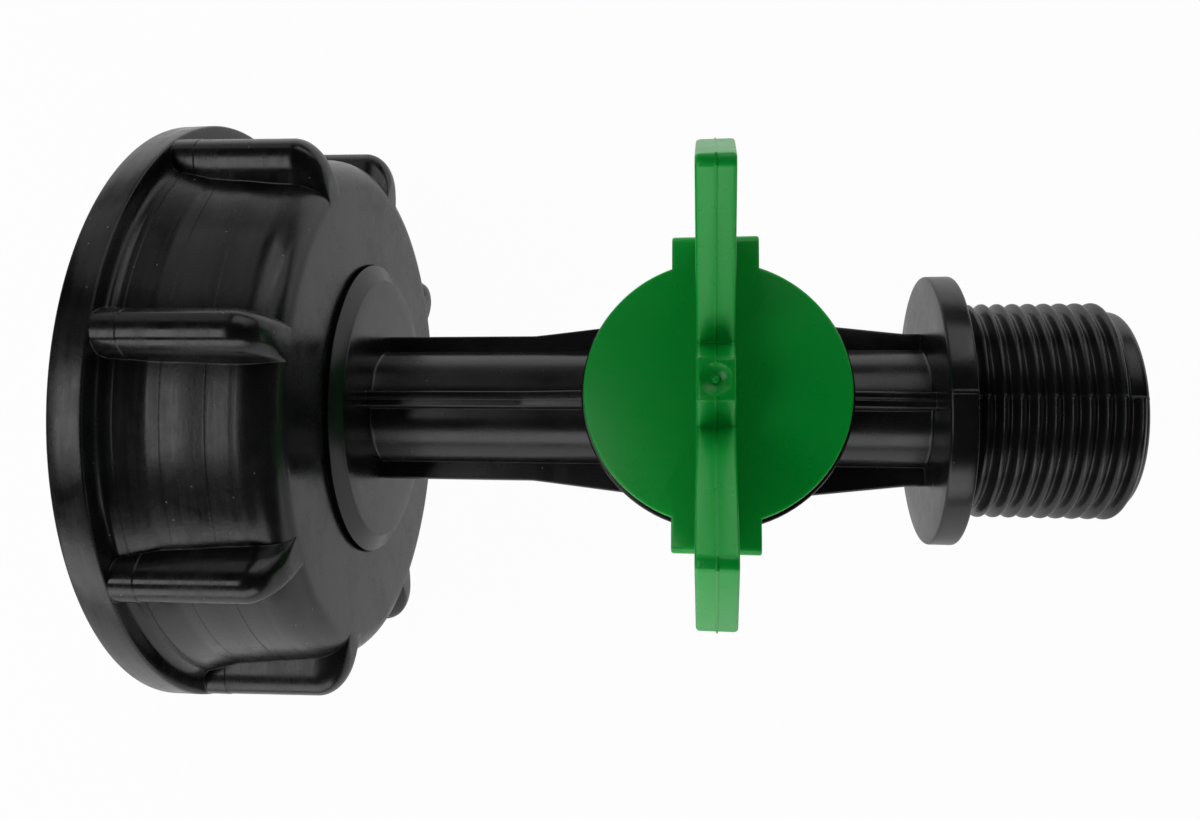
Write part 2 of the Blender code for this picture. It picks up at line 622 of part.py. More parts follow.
def port_ring(name, margin, floor, outer, collection, tools, spindle, side):
    """A ring round a pipe port, curved to the plug's side between two radii."""
    inner = PIPE_BORE_RADIUS + PORT_SEAL_MARGIN - margin
    width = PORT_SEAL_WIDTH + 2 * margin
    reach = CHAMBER_RADIUS + CUT_OVERRUN
    profile = [(inner, reach), (inner + width, reach), (inner + width, 0.0), (inner, 0.0)]
    ring = turned(name, profile, RING_STEPS, collection, parent=spindle, closed=True)
    ring.rotation_euler = (0.0, side * math.pi / 2, 0.0)
    core = cylinder(name + "_core", floor, -reach, reach, BODY_STEPS, tools, parent=spindle)
    skin = cylinder(name + "_skin", outer, -reach, reach, BODY_STEPS, tools, parent=spindle)
    combine(ring, core, 'DIFFERENCE')
    combine(ring, skin, 'INTERSECT')
    return ring


def make_plug(parts, tools, spindle, plastic_white, rubber):
    """The turning plug, its two O-rings and the two rings that seal the ports."""
    plug = turned("plug", plug_profile(), BODY_STEPS, parts, parent=spindle)
    pocket_radius = PLUG_RADIUS - PLUG_WALL
    shelf = PLUG_BORE_RADIUS + PLUG_FLOOR
    pocket = cylinder("plug_pocket", pocket_radius, shelf, PLUG_TOP + CUT_OVERRUN,
                      BODY_STEPS, tools, parent=spindle)
    slot_half_x = TONGUE_WIDTH / 2 + RUNNING_GAP
    slot_half_y = TONGUE_LENGTH / 2 + RUNNING_GAP
    drive = block("plug_drive", slot_half_x + PLUG_SLOT_SHOULDER, PLUG_RADIUS, shelf - CUT_OVERRUN,
                  PLUG_TOP + 2 * CUT_OVERRUN, tools, parent=spindle)
    combine(pocket, drive, 'DIFFERENCE')
    combine(plug, pocket, 'DIFFERENCE')
    slot = block("plug_slot", slot_half_x, slot_half_y, DISC_UNDERSIDE - TONGUE_DEPTH - RUNNING_GAP,
                 PLUG_TOP + CUT_OVERRUN, tools, parent=spindle)
    combine(plug, slot, 'DIFFERENCE')
    under = cylinder("plug_under_pocket", pocket_radius, PLUG_BOTTOM - CUT_OVERRUN, -shelf,
                     BODY_STEPS, tools, parent=spindle)
    combine(plug, under, 'DIFFERENCE')
    bore = cylinder("plug_bore", PLUG_BORE_RADIUS, -CHAMBER_RADIUS, CHAMBER_RADIUS, RING_STEPS,
                    tools, parent=spindle, axis='Y')
    combine(plug, bore, 'DIFFERENCE')
    seal_outer = CHAMBER_RADIUS - SEAL_CLEARANCE
    seal_floor = PLUG_RADIUS - PORT_SEAL_DEPTH
    beyond = CHAMBER_RADIUS + 2 * CUT_OVERRUN
    for side, where in ((-1, "inlet"), (1, "outlet")):
        groove = port_ring(f"port_groove_{where}", SEAL_CLEARANCE, seal_floor, beyond,
                           tools, tools, spindle, side)
        combine(plug, as_tool(groove, tools), 'DIFFERENCE')
        seal = port_ring(f"port_seal_{where}", 0.0, seal_floor + SEAL_CLEARANCE, seal_outer,
                         parts, tools, spindle, side)
        finish(seal, rubber)
    for name, height in (("o_ring_upper", O_RING_UPPER), ("o_ring_lower", O_RING_LOWER)):
        bpy.ops.mesh.primitive_torus_add(major_segments=RING_STEPS, minor_segments=RING_SECTION_STEPS,
                                         major_radius=O_RING_RADIUS,
                                         minor_radius=O_RING_SECTION_RADIUS)
        ring = bpy.context.object
        ring.name = name
        for collection in list(ring.users_collection):
            collection.objects.unlink(ring)
        parts.objects.link(ring)
        ring.parent = spindle
        ring.location = (0.0, 0.0, height)
        finish(ring, rubber)
    finish(plug, plastic_white)


def main():
    clear_scene()
    parts = new_collection("ibc_tank_valve")
    tools = new_collection("cutters")
    spindle = bpy.data.objects.new("spindle_axis", None)
    parts.objects.link(spindle)
    spindle.location = (HANDLE_DISTANCE, 0.0, 0.0)
    bpy.context.view_layer.update()
    plastic_black = plastic("black_polypropylene", (0.012, 0.012, 0.012), 0.35)
    plastic_green = plastic("green_polypropylene", (0.0, 0.19, 0.035), 0.4)
    plastic_white = plastic("white_acetal", (0.75, 0.74, 0.7), 0.35)
    rubber = plastic("black_rubber", (0.01, 0.01, 0.01), 0.7)
    make_gasket(parts, rubber)
    make_body(parts, tools, spindle, plastic_black)
    make_nut(parts, tools, plastic_black)
    make_handle(parts, tools, spindle, plastic_green)
    make_plug(parts, tools, spindle, plastic_white, rubber)


main()
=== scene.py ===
"""Tank valve for a bulk container, dressed for a studio picture.

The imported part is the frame. This file covers it with the finer forms that moulding gives the
real one: the nut's coarse thread and rounded lugs, the body's pipe thread, ribs and parting line,
and the butterfly handle's soft edges and gate mark. It is laid out as an add-on and run as a
script. Sizes are in metres in the properties and in millimetres where a value names MM.
"""
import math

import bmesh
import bpy
from bpy.props import FloatProperty, FloatVectorProperty, IntProperty, PointerProperty, StringProperty
from bpy.types import Operator, Panel, PropertyGroup
from mathutils import Euler, Matrix, Vector


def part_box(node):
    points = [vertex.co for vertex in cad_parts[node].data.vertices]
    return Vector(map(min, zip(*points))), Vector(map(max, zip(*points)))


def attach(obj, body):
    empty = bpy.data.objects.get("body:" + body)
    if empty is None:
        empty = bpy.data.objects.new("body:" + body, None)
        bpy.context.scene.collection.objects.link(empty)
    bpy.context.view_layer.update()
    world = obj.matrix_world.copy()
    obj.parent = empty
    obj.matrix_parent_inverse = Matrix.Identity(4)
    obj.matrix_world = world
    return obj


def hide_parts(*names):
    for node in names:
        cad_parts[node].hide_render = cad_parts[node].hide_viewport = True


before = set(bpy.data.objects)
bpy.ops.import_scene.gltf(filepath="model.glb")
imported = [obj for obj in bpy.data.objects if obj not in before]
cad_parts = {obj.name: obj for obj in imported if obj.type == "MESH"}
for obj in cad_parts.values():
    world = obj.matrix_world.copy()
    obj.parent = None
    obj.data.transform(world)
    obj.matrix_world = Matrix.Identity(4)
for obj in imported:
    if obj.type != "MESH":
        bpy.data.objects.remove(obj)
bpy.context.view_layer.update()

bl_info = {
    "name": "Tank valve dresser",
    "version": (1, 0, 0),
    "blender": (4, 5, 0),
    "location": "View3D > Sidebar > Tank valve",
    "description": "Builds the fine pieces, finishes and studio of a bulk container's tank valve",
    "category": "Object",
}

MM = 0.001
NUT_LOW, NUT_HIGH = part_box("coupling_nut")
BODY_LOW, BODY_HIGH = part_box("valve_body")
HANDLE_LOW, HANDLE_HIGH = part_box("handle")
PLUG_LOW, PLUG_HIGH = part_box("plug")
SPINDLE_X = (PLUG_LOW.x + PLUG_HIGH.x) / 2
FACET_ANGLE = math.radians(28.0)


# Property groups


class NutSizes(PropertyGroup):
    """Sizes of the coupling nut that a user would change."""
    flange_radius: FloatProperty(
        name="Flange radius", description="Outside of the rim at the nut's mouth",
        default=NUT_HIGH.y, unit='LENGTH', subtype='DISTANCE')
    wall_radius: FloatProperty(
        name="Wall radius", description="Outside of the wall beside the flange",
        default=34.2 * MM, unit='LENGTH', subtype='DISTANCE')
    corner_radius: FloatProperty(
        name="Corner radius", description="Rounding from the wall to the end face, across the axis",
        default=3.8 * MM, unit='LENGTH', subtype='DISTANCE')
    corner_length: FloatProperty(
        name="Corner length", description="Rounding from the wall to the end face, along the axis",
        default=4.7 * MM, unit='LENGTH', subtype='DISTANCE')
    crest_radius: FloatProperty(
        name="Lug crest radius", description="Outside of the grip lugs beside the flange",
        default=38.1 * MM, unit='LENGTH', subtype='DISTANCE')
    crown_radius: FloatProperty(
        name="Lug crown radius", description="Rounding across the top of a lug",
        default=3.2 * MM, unit='LENGTH', subtype='DISTANCE')
    lug_edge_radius: FloatProperty(
        name="Lug edge radius", description="Rounding from a lug's crown to its sides",
        default=1.35 * MM, unit='LENGTH', subtype='DISTANCE')
    lug_count: IntProperty(
        name="Lugs", description="Number of grip lugs", default=8, min=3, max=24)
    first_lug_angle: FloatProperty(
        name="First lug angle", description="Turn of the first lug from straight up",
        default=math.radians(6.0), unit='ROTATION', subtype='ANGLE')
    thread_pitch: FloatProperty(
        name="Thread pitch", description="Rise of the coarse thread in one turn",
        default=6.0 * MM, unit='LENGTH', subtype='DISTANCE')
    thread_depth: FloatProperty(
        name="Thread depth", description="Depth of the coarse thread",
        default=2.4 * MM, unit='LENGTH', subtype='DISTANCE')


class BodySizes(PropertyGroup):
    """Sizes of the valve body that a user would change."""
    pipe_radius: FloatProperty(
        name="Pipe radius", description="Outside of the pipe between the ribs",
        default=7.4 * MM, unit='LENGTH', subtype='DISTANCE')
    bore_radius: FloatProperty(
        name="Bore radius", description="Inside of the pipe",
        default=5.2 * MM, unit='LENGTH', subtype='DISTANCE')
    rib_thickness: FloatProperty(
        name="Rib thickness", description="Thickness of the four long ribs at their edge",
        default=2.0 * MM, unit='LENGTH', subtype='DISTANCE')
    rib_height: FloatProperty(
        name="Rib height", description="Distance of a rib's edge from the pipe's axis",
        default=9.6 * MM, unit='LENGTH', subtype='DISTANCE')
    thread_radius: FloatProperty(
        name="Thread radius", description="Crest radius of the outlet's pipe thread",
        default=13.22 * MM, unit='LENGTH', subtype='DISTANCE')
    thread_pitch: FloatProperty(
        name="Thread pitch", description="Pitch of the outlet's pipe thread",
        default=1.814 * MM, unit='LENGTH', subtype='DISTANCE')
    thread_depth: FloatProperty(
        name="Thread depth", description="Depth of the outlet's pipe thread",
        default=1.0 * MM, unit='LENGTH', subtype='DISTANCE')
    parting_height: FloatProperty(
        name="Parting line height", description="Height of the raised line where the mould closed",
        default=0.09 * MM, unit='LENGTH', subtype='DISTANCE')


class HandleSizes(PropertyGroup):
    """Sizes of the butterfly handle that a user would change."""
    disc_radius: FloatProperty(
        name="Disc radius", description="Outside of the handle's disc",
        default=15.2 * MM, unit='LENGTH', subtype='DISTANCE')
    wing_thickness: FloatProperty(
        name="Wing thickness", description="Thickness of the fin at the disc",
        default=4.3 * MM, unit='LENGTH', subtype='DISTANCE')
    wing_draft: FloatProperty(
        name="Wing draft", description="How much thinner the fin is at its crest",
        default=0.3 * MM, unit='LENGTH', subtype='DISTANCE')
    edge_radius: FloatProperty(
        name="Edge radius", description="Rounding of the fin's edges",
        default=0.4 * MM, unit='LENGTH', subtype='DISTANCE')
    gate_radius: FloatProperty(
        name="Gate dimple radius", description="Radius of the dimple where plastic was injected",
        default=1.75 * MM, unit='LENGTH', subtype='DISTANCE')


class ValveFinishes(PropertyGroup):
    """Colours, as sRGB hex values, and edge softness of the finishes."""
    black: StringProperty(
        name="Black", description="Colour of the body and nut, sRGB hex", default="#0e0e0f")
    green: StringProperty(
        name="Green", description="Colour of the handle, sRGB hex", default="#02a439")
    white: StringProperty(
        name="White", description="Colour of the plug, sRGB hex", default="#e6e3d8")
    rubber: StringProperty(
        name="Rubber", description="Colour of the seals, sRGB hex", default="#1c1c1d")
    mould_edge: FloatProperty(
        name="Mould edge", description="Radius that edges and inner corners appear to have",
        default=0.22 * MM, unit='LENGTH', subtype='DISTANCE')


class StageSetup(PropertyGroup):
    """The camera that took the photograph and the light around the valve."""
    camera_place: FloatVectorProperty(
        name="Camera place", description="Where the lens stood",
        default=(55.592 * MM, -16.373 * MM, 136.063 * MM), unit='LENGTH', subtype='TRANSLATION')
    camera_turn: FloatVectorProperty(
        name="Camera turn", description="The camera's rotation",
        default=(0.1696, 0.1533, 0.0235), unit='ROTATION', subtype='EULER')
    lens: FloatProperty(
        name="Lens", description="Focal length in millimetres on a 36 mm sensor", default=31.267)
    shift: FloatVectorProperty(
        name="Shift", description="Shift of the picture from the lens's axis", size=2,
        default=(0.0424, -0.0426))
    wall_light: FloatProperty(
        name="Wall light", description="Brightness of the tent's low walls", default=2.4, min=0.0)
    floor_gap: FloatProperty(
        name="Floor gap", description="Space between the nut's lowest point and the floor",
        default=0.2 * MM, unit='LENGTH', subtype='DISTANCE')


# Meshes


def arc(center, radius, start, end, steps):
    """Points on an arc, both ends included, angles in degrees."""
    points = []
    for i in range(steps + 1):
        angle = math.radians(start + (end - start) * i / steps)
        points.append((center[0] + radius * math.cos(angle), center[1] + radius * math.sin(angle)))
    return points


def line(start, end, steps):
    """Points along a straight line, both ends included."""
    return [tuple(a + (b - a) * i / steps for a, b in zip(start, end)) for i in range(steps + 1)]


def new_piece(name, verts, faces):
    """A mesh object whose faces point outward."""
    mesh = bpy.data.meshes.new(name)
    mesh.from_pydata(verts, [], faces)
    shape = bmesh.new()
    shape.from_mesh(mesh)
    bmesh.ops.recalc_face_normals(shape, faces=shape.faces)
    shape.to_mesh(mesh)
    shape.free()
    piece = bpy.data.objects.new(name, mesh)
    bpy.context.scene.collection.objects.link(piece)
    return piece


def skin(name, rows, ring_of_rows=False):
    """Skin closed rows of points; the rows form a ring, or end in flat caps."""
    count = len(rows[0])
    verts = [point for row in rows for point in row]
    faces = []
    last = len(rows) if ring_of_rows else len(rows) - 1
    for row in range(last):
        here = row * count
        there = (row + 1) % len(rows) * count
        for i in range(count):
            j = (i + 1) % count
            faces.append((here + i, here + j, there + j, there + i))
    if not ring_of_rows:
        faces.append(tuple(range(count)))
        faces.append(tuple(reversed(range(len(verts) - count, len(verts)))))
    return new_piece(name, verts, faces)


def extruded(name, outline, place, half_thickness):
    """A flat outline given thickness; place(u, v, w) puts a point, w its signed half thickness."""
    count = len(outline)
    verts = [place(u, v, -half_thickness(v)) for u, v in outline]
    verts += [place(u, v, half_thickness(v)) for u, v in outline]
    faces = [tuple(range(count)), tuple(reversed(range(count, 2 * count)))]
    for i in range(count):
        j = (i + 1) % count
        faces.append((i, j, count + j, count + i))
    return new_piece(name, verts, faces)


def settle(piece):
    """Apply a piece's modifiers to its mesh."""
    bpy.context.view_layer.update()
    evaluated = piece.evaluated_get(bpy.context.evaluated_depsgraph_get())
    mesh = bpy.data.meshes.new_from_object(evaluated)
    piece.modifiers.clear()
    piece.data = mesh
    return piece


def round_edges(piece, width, segments=3):
    """Round every edge of a piece that turns more than the facet angle."""
    bevel = piece.modifiers.new("Rounded edges", 'BEVEL')
    bevel.width = width
    bevel.segments = segments
    bevel.limit_method = 'ANGLE'
    bevel.angle_limit = FACET_ANGLE
    bevel.use_clamp_overlap = True
    return settle(piece)


def combine(piece, tool, operation='UNION'):
    """Join a tool to a piece, or cut it from the piece, and remove the tool."""
    boolean = piece.modifiers.new("Combine", 'BOOLEAN')
    boolean.object = tool
    boolean.operation = operation
    boolean.solver = 'EXACT'
    settle(piece)
    bpy.data.objects.remove(tool, do_unlink=True)
    return piece


def smooth_by_angle(piece):
    """Shade a piece smooth where it is round and sharp where it isn't."""
    piece.data.shade_smooth()
    piece.data.set_sharp_from_angle(angle=FACET_ANGLE)


def dress(piece, material, body, slot, *nodes):
    """Finish a piece, seat it on its body and let it stand for its plain solids."""
    piece.data.materials.clear()
    piece.data.materials.append(material)
    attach(piece, body)
    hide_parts(*nodes)


# Finishes


def linear(hex_color):
    """Linear colour of an sRGB hex value."""
    channels = [int(hex_color[i:i + 2], 16) / 255 for i in (1, 3, 5)]
    return tuple(c / 12.92 if c <= 0.04045 else ((c + 0.055) / 1.055) ** 2.4 for c in channels) + (1.0,)


def per_metre(size):
    """Texture scale at which one feature of a pattern has the given size."""
    return 1.0 / size


def add_node(tree, kind, inputs=None, **settings):
    """Add a node with its settings, and set or link its inputs."""
    node = tree.nodes.new(kind)
    for name, value in settings.items():
        setattr(node, name, value)
    for name, value in (inputs or {}).items():
        if isinstance(value, bpy.types.NodeSocket):
            tree.links.new(value, node.inputs[name])
        else:
            node.inputs[name].default_value = value
    return node


def new_finish(name):
    """A material with an empty tree, its Principled shader and the object's coordinates."""
    material = bpy.data.materials.new(name)
    material.use_nodes = True
    tree = material.node_tree
    tree.nodes.clear()
    shader = add_node(tree, "ShaderNodeBsdfPrincipled")
    add_node(tree, "ShaderNodeOutputMaterial", {"Surface": shader.outputs["BSDF"]})
    place = add_node(tree, "ShaderNodeTexCoord").outputs["Object"]
    return material, tree, shader, place


def moulded_plastic(name, color, pale_share, roughness, spread, grain_size, grain_height, edge):
    """An injection-moulded surface: soft edges, a fine grain and slow flow marks in its gloss."""
    material, tree, shader, place = new_finish(name)
    shader.inputs["IOR"].default_value = 1.49
    shader.inputs["Metallic"].default_value = 0.0

    flow = add_node(tree, "ShaderNodeTexNoise", {
        "Vector": place, "Scale": per_metre(9 * MM), "Detail": 3.0, "Roughness": 0.55, "Distortion": 0.6})
    scuff = add_node(tree, "ShaderNodeTexNoise", {
        "Vector": place, "Scale": per_metre(1.6 * MM), "Detail": 4.0, "Roughness": 0.6})
    gloss = add_node(tree, "ShaderNodeMix", {
        0: 0.4, 2: flow.outputs["Fac"], 3: scuff.outputs["Fac"]})
    rough = add_node(tree, "ShaderNodeMapRange", {
        "Value": gloss.outputs[0], "From Min": 0.35, "From Max": 0.65,
        "To Min": roughness - spread, "To Max": roughness + spread})
    tree.links.new(rough.outputs["Result"], shader.inputs["Roughness"])

    pale = tuple(c + (1.0 - c) * pale_share for c in linear(color)[:3]) + (1.0,)
    tone = add_node(tree, "ShaderNodeMapRange", {
        "Value": flow.outputs["Fac"], "From Min": 0.3, "From Max": 0.7, "To Min": 0.0, "To Max": 1.0})
    tint = add_node(tree, "ShaderNodeMix", {
        0: tone.outputs["Result"], 6: linear(color), 7: pale}, data_type='RGBA')
    tree.links.new(tint.outputs[2], shader.inputs["Base Color"])

    soft_edge = add_node(tree, "ShaderNodeBevel", {"Radius": edge}, samples=6)
    grain = add_node(tree, "ShaderNodeTexNoise", {
        "Vector": place, "Scale": per_metre(grain_size), "Detail": 2.0, "Roughness": 0.6})
    relief = add_node(tree, "ShaderNodeBump", {
        "Height": grain.outputs["Fac"], "Distance": grain_height, "Strength": 1.0,
        "Normal": soft_edge.outputs["Normal"]})
    tree.links.new(relief.outputs["Normal"], shader.inputs["Normal"])
    return material, tree, shader, place


def drag_marks(tree, shader, place, across, along):
    """Bands round the pipe's axis, glossier and duller, where the tool dragged as it opened."""
    stretched = add_node(tree, "ShaderNodeMapping", {
        "Vector": place, "Scale": (per_metre(across), per_metre(along), per_metre(along))})
    bands = add_node(tree, "ShaderNodeTexNoise", {
        "Vector": stretched.outputs["Vector"], "Scale": 1.0, "Detail": 3.0, "Roughness": 0.6})
    shift = add_node(tree, "ShaderNodeMapRange", {
        "Value": bands.outputs["Fac"], "From Min": 0.3, "From Max": 0.7, "To Min": -0.05, "To Max": 0.05})
    rough = add_node(tree, "ShaderNodeMath", {
        0: shader.inputs["Roughness"].links[0].from_socket, 1: shift.outputs["Result"]}, operation='ADD')
    tree.links.new(rough.outputs["Value"], shader.inputs["Roughness"])
    relief = add_node(tree, "ShaderNodeBump", {
        "Height": bands.outputs["Fac"], "Distance": 0.012 * MM, "Strength": 1.0,
        "Normal": shader.inputs["Normal"].links[0].from_socket})
    tree.links.new(relief.outputs["Normal"], shader.inputs["Normal"])


def dust_specks(tree, shader, place, spacing, radius):
    """Sparse pale specks, the dust and small nicks that handling leaves on black plastic."""
    cells = add_node(tree, "ShaderNodeTexVoronoi", {"Vector": place, "Scale": per_metre(spacing)})
    share = radius / spacing
    speck = add_node(tree, "ShaderNodeMapRange", {
        "Value": cells.outputs["Distance"], "From Min": share * 0.6, "From Max": share,
        "To Min": 0.5, "To Max": 0.0})
    dusty = add_node(tree, "ShaderNodeMix", {
        0: speck.outputs["Result"], 6: shader.inputs["Base Color"].links[0].from_socket,
        7: linear("#8a8883")}, data_type='RGBA')
    tree.links.new(dusty.outputs[2], shader.inputs["Base Color"])


def nut_polypropylene(finishes):
    """Carbon-black polypropylene that was stripped off a core: satin, banded and a little dusty."""
    material, tree, shader, place = moulded_plastic(
        "black_polypropylene_stripped", finishes.black, 0.006, 0.25, 0.07,
        0.6 * MM, 0.008 * MM, finishes.mould_edge)
    drag_marks(tree, shader, place, 0.9 * MM, 14 * MM)
    dust_specks(tree, shader, place, 2.2 * MM, 0.13 * MM)
    return material


def body_polypropylene(finishes):
    """Carbon-black polypropylene, moulded in a polished split tool: a dark satin with a soft grain."""
    material, tree, shader, place = moulded_plastic(
        "black_polypropylene_moulded", finishes.black, 0.004, 0.24, 0.05,
        0.5 * MM, 0.006 * MM, finishes.mould_edge)
    dust_specks(tree, shader, place, 2.6 * MM, 0.11 * MM)
    return material


def green_polypropylene(finishes):
    """Green polypropylene, slightly milky below its surface, from a finely blasted tool."""
    material, _, shader, _ = moulded_plastic(
        "green_polypropylene_moulded", finishes.green, 0.002, 0.3, 0.04,
        0.4 * MM, 0.004 * MM, finishes.mould_edge)
    shader.inputs["Specular IOR Level"].default_value = 0.4
    shader.inputs["Subsurface Weight"].default_value = 0.4
    shader.inputs["Subsurface Radius"].default_value = (0.15, 1.0, 0.35)
    shader.inputs["Subsurface Scale"].default_value = 1.6 * MM
    return material


def white_acetal(finishes):
    """Natural white acetal: smooth, slippery and a little waxy."""
    material, _, shader, _ = moulded_plastic(
        "white_acetal_moulded", finishes.white, 0.02, 0.3, 0.03,
        0.5 * MM, 0.002 * MM, finishes.mould_edge / 2)
    shader.inputs["Subsurface Weight"].default_value = 0.1
    shader.inputs["Subsurface Radius"].default_value = (1.0, 0.9, 0.8)
    shader.inputs["Subsurface Scale"].default_value = 1.0 * MM
    return material


def black_rubber(finishes):
    """Black sealing rubber, moulded and dusted with talc: dull, with a fine tooth."""
    material, _, _, _ = moulded_plastic(
        "black_rubber_moulded", finishes.rubber, 0.02, 0.72, 0.06,
        0.25 * MM, 0.01 * MM, finishes.mould_edge / 2)
    return material


# Coupling nut


def lug_section(sizes, crest, foot, width_share, grow):
    """Points across a crowned lug, from one foot over its crown to the other: (side, radius)."""
    crown = sizes.crown_radius
    edge = sizes.lug_edge_radius
    tilt = math.radians(LUG_CROWN_TURN)
    draft = math.radians(LUG_SIDE_DRAFT)
    shoulder = math.radians(LUG_SHOULDER_TURN)
    belly = LUG_BELLY_RADIUS - edge
    shift = crown - edge
    center = (shift * math.sin(tilt), crest - crown + shift * math.cos(tilt))
    right = arc((0.0, crest - crown), crown, 90, 90 - LUG_CROWN_TURN, 5)
    right += arc(center, edge, 90 - LUG_CROWN_TURN, LUG_SHOULDER_TURN, 7)[1:]
    center = (center[0] - belly * math.cos(shoulder), center[1] - belly * math.sin(shoulder))
    right += arc(center, edge + belly, LUG_SHOULDER_TURN, LUG_SIDE_DRAFT, 9)[1:]
    side, radius = right[-1]
    right += line((side, radius), (side + (radius - foot) * math.tan(draft), foot), 3)[1:]
    right = [(side * width_share + (grow if side > 0 else 0.0), radius) for side, radius in right]
    return [(-side, radius) for side, radius in reversed(right[1:])] + right


def lug_stations(sizes):
    """Places along a lug from inside the flange to its nose: (x, crest, foot, width share, growth)."""
    root = NUT_BORE_RADIUS + 1.4 * MM
    start = NUT_LOW.x + NUT_FLANGE_THICKNESS / 2
    nose = NUT_HIGH.x - LUG_END_INSET
    bend = nose - LUG_NOSE_LENGTH
    crest_end = sizes.crest_radius - LUG_CREST_DRAFT
    low = sizes.wall_radius - NUT_WALL_DRAFT - sizes.corner_radius - 0.2 * MM
    slope = LUG_CREST_DRAFT / (bend - start)
    stations = [(start, sizes.crest_radius, root, 1.0, LUG_STEP)]
    for x, grow in ((LUG_STEP_PLACE, LUG_STEP), (LUG_STEP_PLACE + LUG_STEP, 0.0)):
        stations.append((x, sizes.crest_radius - slope * (x - start) + grow, root, 1.0, grow))
    for across, up in arc((0.0, 0.0), 1.0, 90, 0, 16):
        foot = root + (low - root) * across
        crest = crest_end - LUG_NOSE_DROP * (1.0 - up)
        share = 1.0 - LUG_NOSE_TAPER * across ** 2
        stations.append((bend + LUG_NOSE_LENGTH * across, crest, foot, share, 0.0))
    return stations


def lug_ring(sizes):
    """All grip lugs round the nut as one mesh of separate closed bars."""
    sections = [(x, lug_section(sizes, crest, foot, share, grow))
                for x, crest, foot, share, grow in lug_stations(sizes)]
    count = len(sections[0][1])
    verts, faces = [], []
    for number in range(sizes.lug_count):
        turn = sizes.first_lug_angle + 2 * math.pi * number / sizes.lug_count
        cos, sin = math.cos(turn), math.sin(turn)
        first = len(verts)
        for x, section in sections:
            verts += [(x, radius * sin + side * cos, radius * cos - side * sin) for side, radius in section]
        last = len(verts) - count
        faces.append(tuple(range(first, first + count)))
        faces.append(tuple(reversed(range(last, last + count))))
        for row in range(first, last, count):
            for i in range(count):
                j = (i + 1) % count
                faces.append((row + i, row + j, row + count + j, row + count + i))
    return new_piece("grip_lugs", verts, faces)


def nut_stations(sizes):
    """Stations round the nut's section: ((x, radius), kind of surface)."""
    mouth, face = NUT_LOW.x, NUT_HIGH.x
    hole = BODY_HOLE_RADIUS
    bore = NUT_BORE_RADIUS
    corner = sizes.corner_radius
    wall_end = sizes.wall_radius - NUT_WALL_DRAFT
    center = (face - sizes.corner_length, wall_end - corner)
    edge = 0.3 * MM
    flange_inner = mouth + NUT_FLANGE_THICKNESS
    rise, run = NUT_SKIRT_RISE, NUT_SKIRT_LENGTH
    fillet = NUT_FLANGE_FILLET
    rim = sizes.flange_radius - edge
    chamfer = 0.9 * MM
    inner = face - NUT_END_WALL
    inner_fillet = 0.9 * MM
    outside = [(face - HOLE_CHAMFER, hole), (face, hole + HOLE_CHAMFER)]
    outside += line((face, hole + HOLE_CHAMFER), (face, center[1]), 6)[1:]
    outside += [(center[0] + sizes.corner_length * across, center[1] + corner * up)
                for across, up in arc((0.0, 0.0), 1.0, 0, 90, 20)[1:]]
    wall = line((center[0], wall_end), (flange_inner + run, sizes.wall_radius), 40)[1:]
    foot = sizes.wall_radius + rise
    flange = line((flange_inner + run, sizes.wall_radius), (flange_inner + fillet, foot), 8)[1:]
    flange += arc((flange_inner + fillet, foot + fillet), fillet, 270 + NUT_SKIRT_TURN, 180, 10)[1:]
    flange += line((flange_inner, foot + fillet), (flange_inner, rim), 2)[1:]
    flange += arc((flange_inner - edge, rim), edge, 0, 90, 3)[1:]
    flange += line((flange_inner - edge, sizes.flange_radius), (mouth + edge, sizes.flange_radius), 3)[1:]
    flange += arc((mouth + edge, rim), edge, 90, 180, 3)[1:]
    flange += line((mouth, rim), (mouth, bore + chamfer), 3)[1:]
    flange += [(mouth + chamfer / 2, bore + chamfer / 3), (mouth + chamfer, bore)]
    thread = line((mouth + chamfer, bore), (inner - inner_fillet, bore), 84)[1:]
    inside = arc((inner - inner_fillet, bore - inner_fillet), inner_fillet, 90, 0, 4)[1:]
    inside += line((inner, bore - inner_fillet), (inner, hole + edge), 4)[1:]
    inside += arc((inner + edge, hole + edge), edge, 180, 270, 3)[1:]
    inside += line((inner + edge, hole), (face - HOLE_CHAMFER, hole), 3)[1:-1]
    stations = [(point, "plain") for point in outside]
    stations += [(point, "wall") for point in wall]
    stations += [(point, "plain") for point in flange]
    stations += [(point, "thread") for point in thread]
    return stations + [(point, "plain") for point in inside]


def thread_share(turns):
    """Height share of a rounded trapezoid thread, from its turns past a crest."""
    phase = abs(turns - round(turns)) * 2
    return min(1.0, max(0.0, (0.72 - phase) / 0.44))


def fade(x, start, end, run):
    """Ease in and out at the two ends of a thread."""
    near = min(abs(x - start), abs(x - end)) / run
    near = min(1.0, near)
    return near * near * (3 - 2 * near)


def witness_ring(sizes, place, height):
    """A hair-thin raised ring on the wall, where two parts of the mould met."""
    flange_inner = NUT_LOW.x + NUT_FLANGE_THICKNESS
    wall_start = flange_inner + NUT_SKIRT_LENGTH
    along = max(0.0, place - wall_start) / (NUT_HIGH.x - sizes.corner_length - wall_start)
    radius = sizes.wall_radius - NUT_WALL_DRAFT * along
    radius += NUT_SKIRT_RISE * max(0.0, wall_start - place) / (NUT_SKIRT_LENGTH - NUT_FLANGE_FILLET)
    half = 0.04 * MM
    sunk = 0.25 * MM
    profile = [(place - half, radius - sunk), (place - half, radius + height),
               (place + half, radius + height), (place + half, radius - sunk)]
    rows = []
    for x, r in profile:
        ring = [2 * math.pi * i / NUT_COLUMNS for i in range(NUT_COLUMNS)]
        rows.append([(x, r * math.sin(a), r * math.cos(a)) for a in ring])
    return skin("witness_ring", rows, ring_of_rows=True)


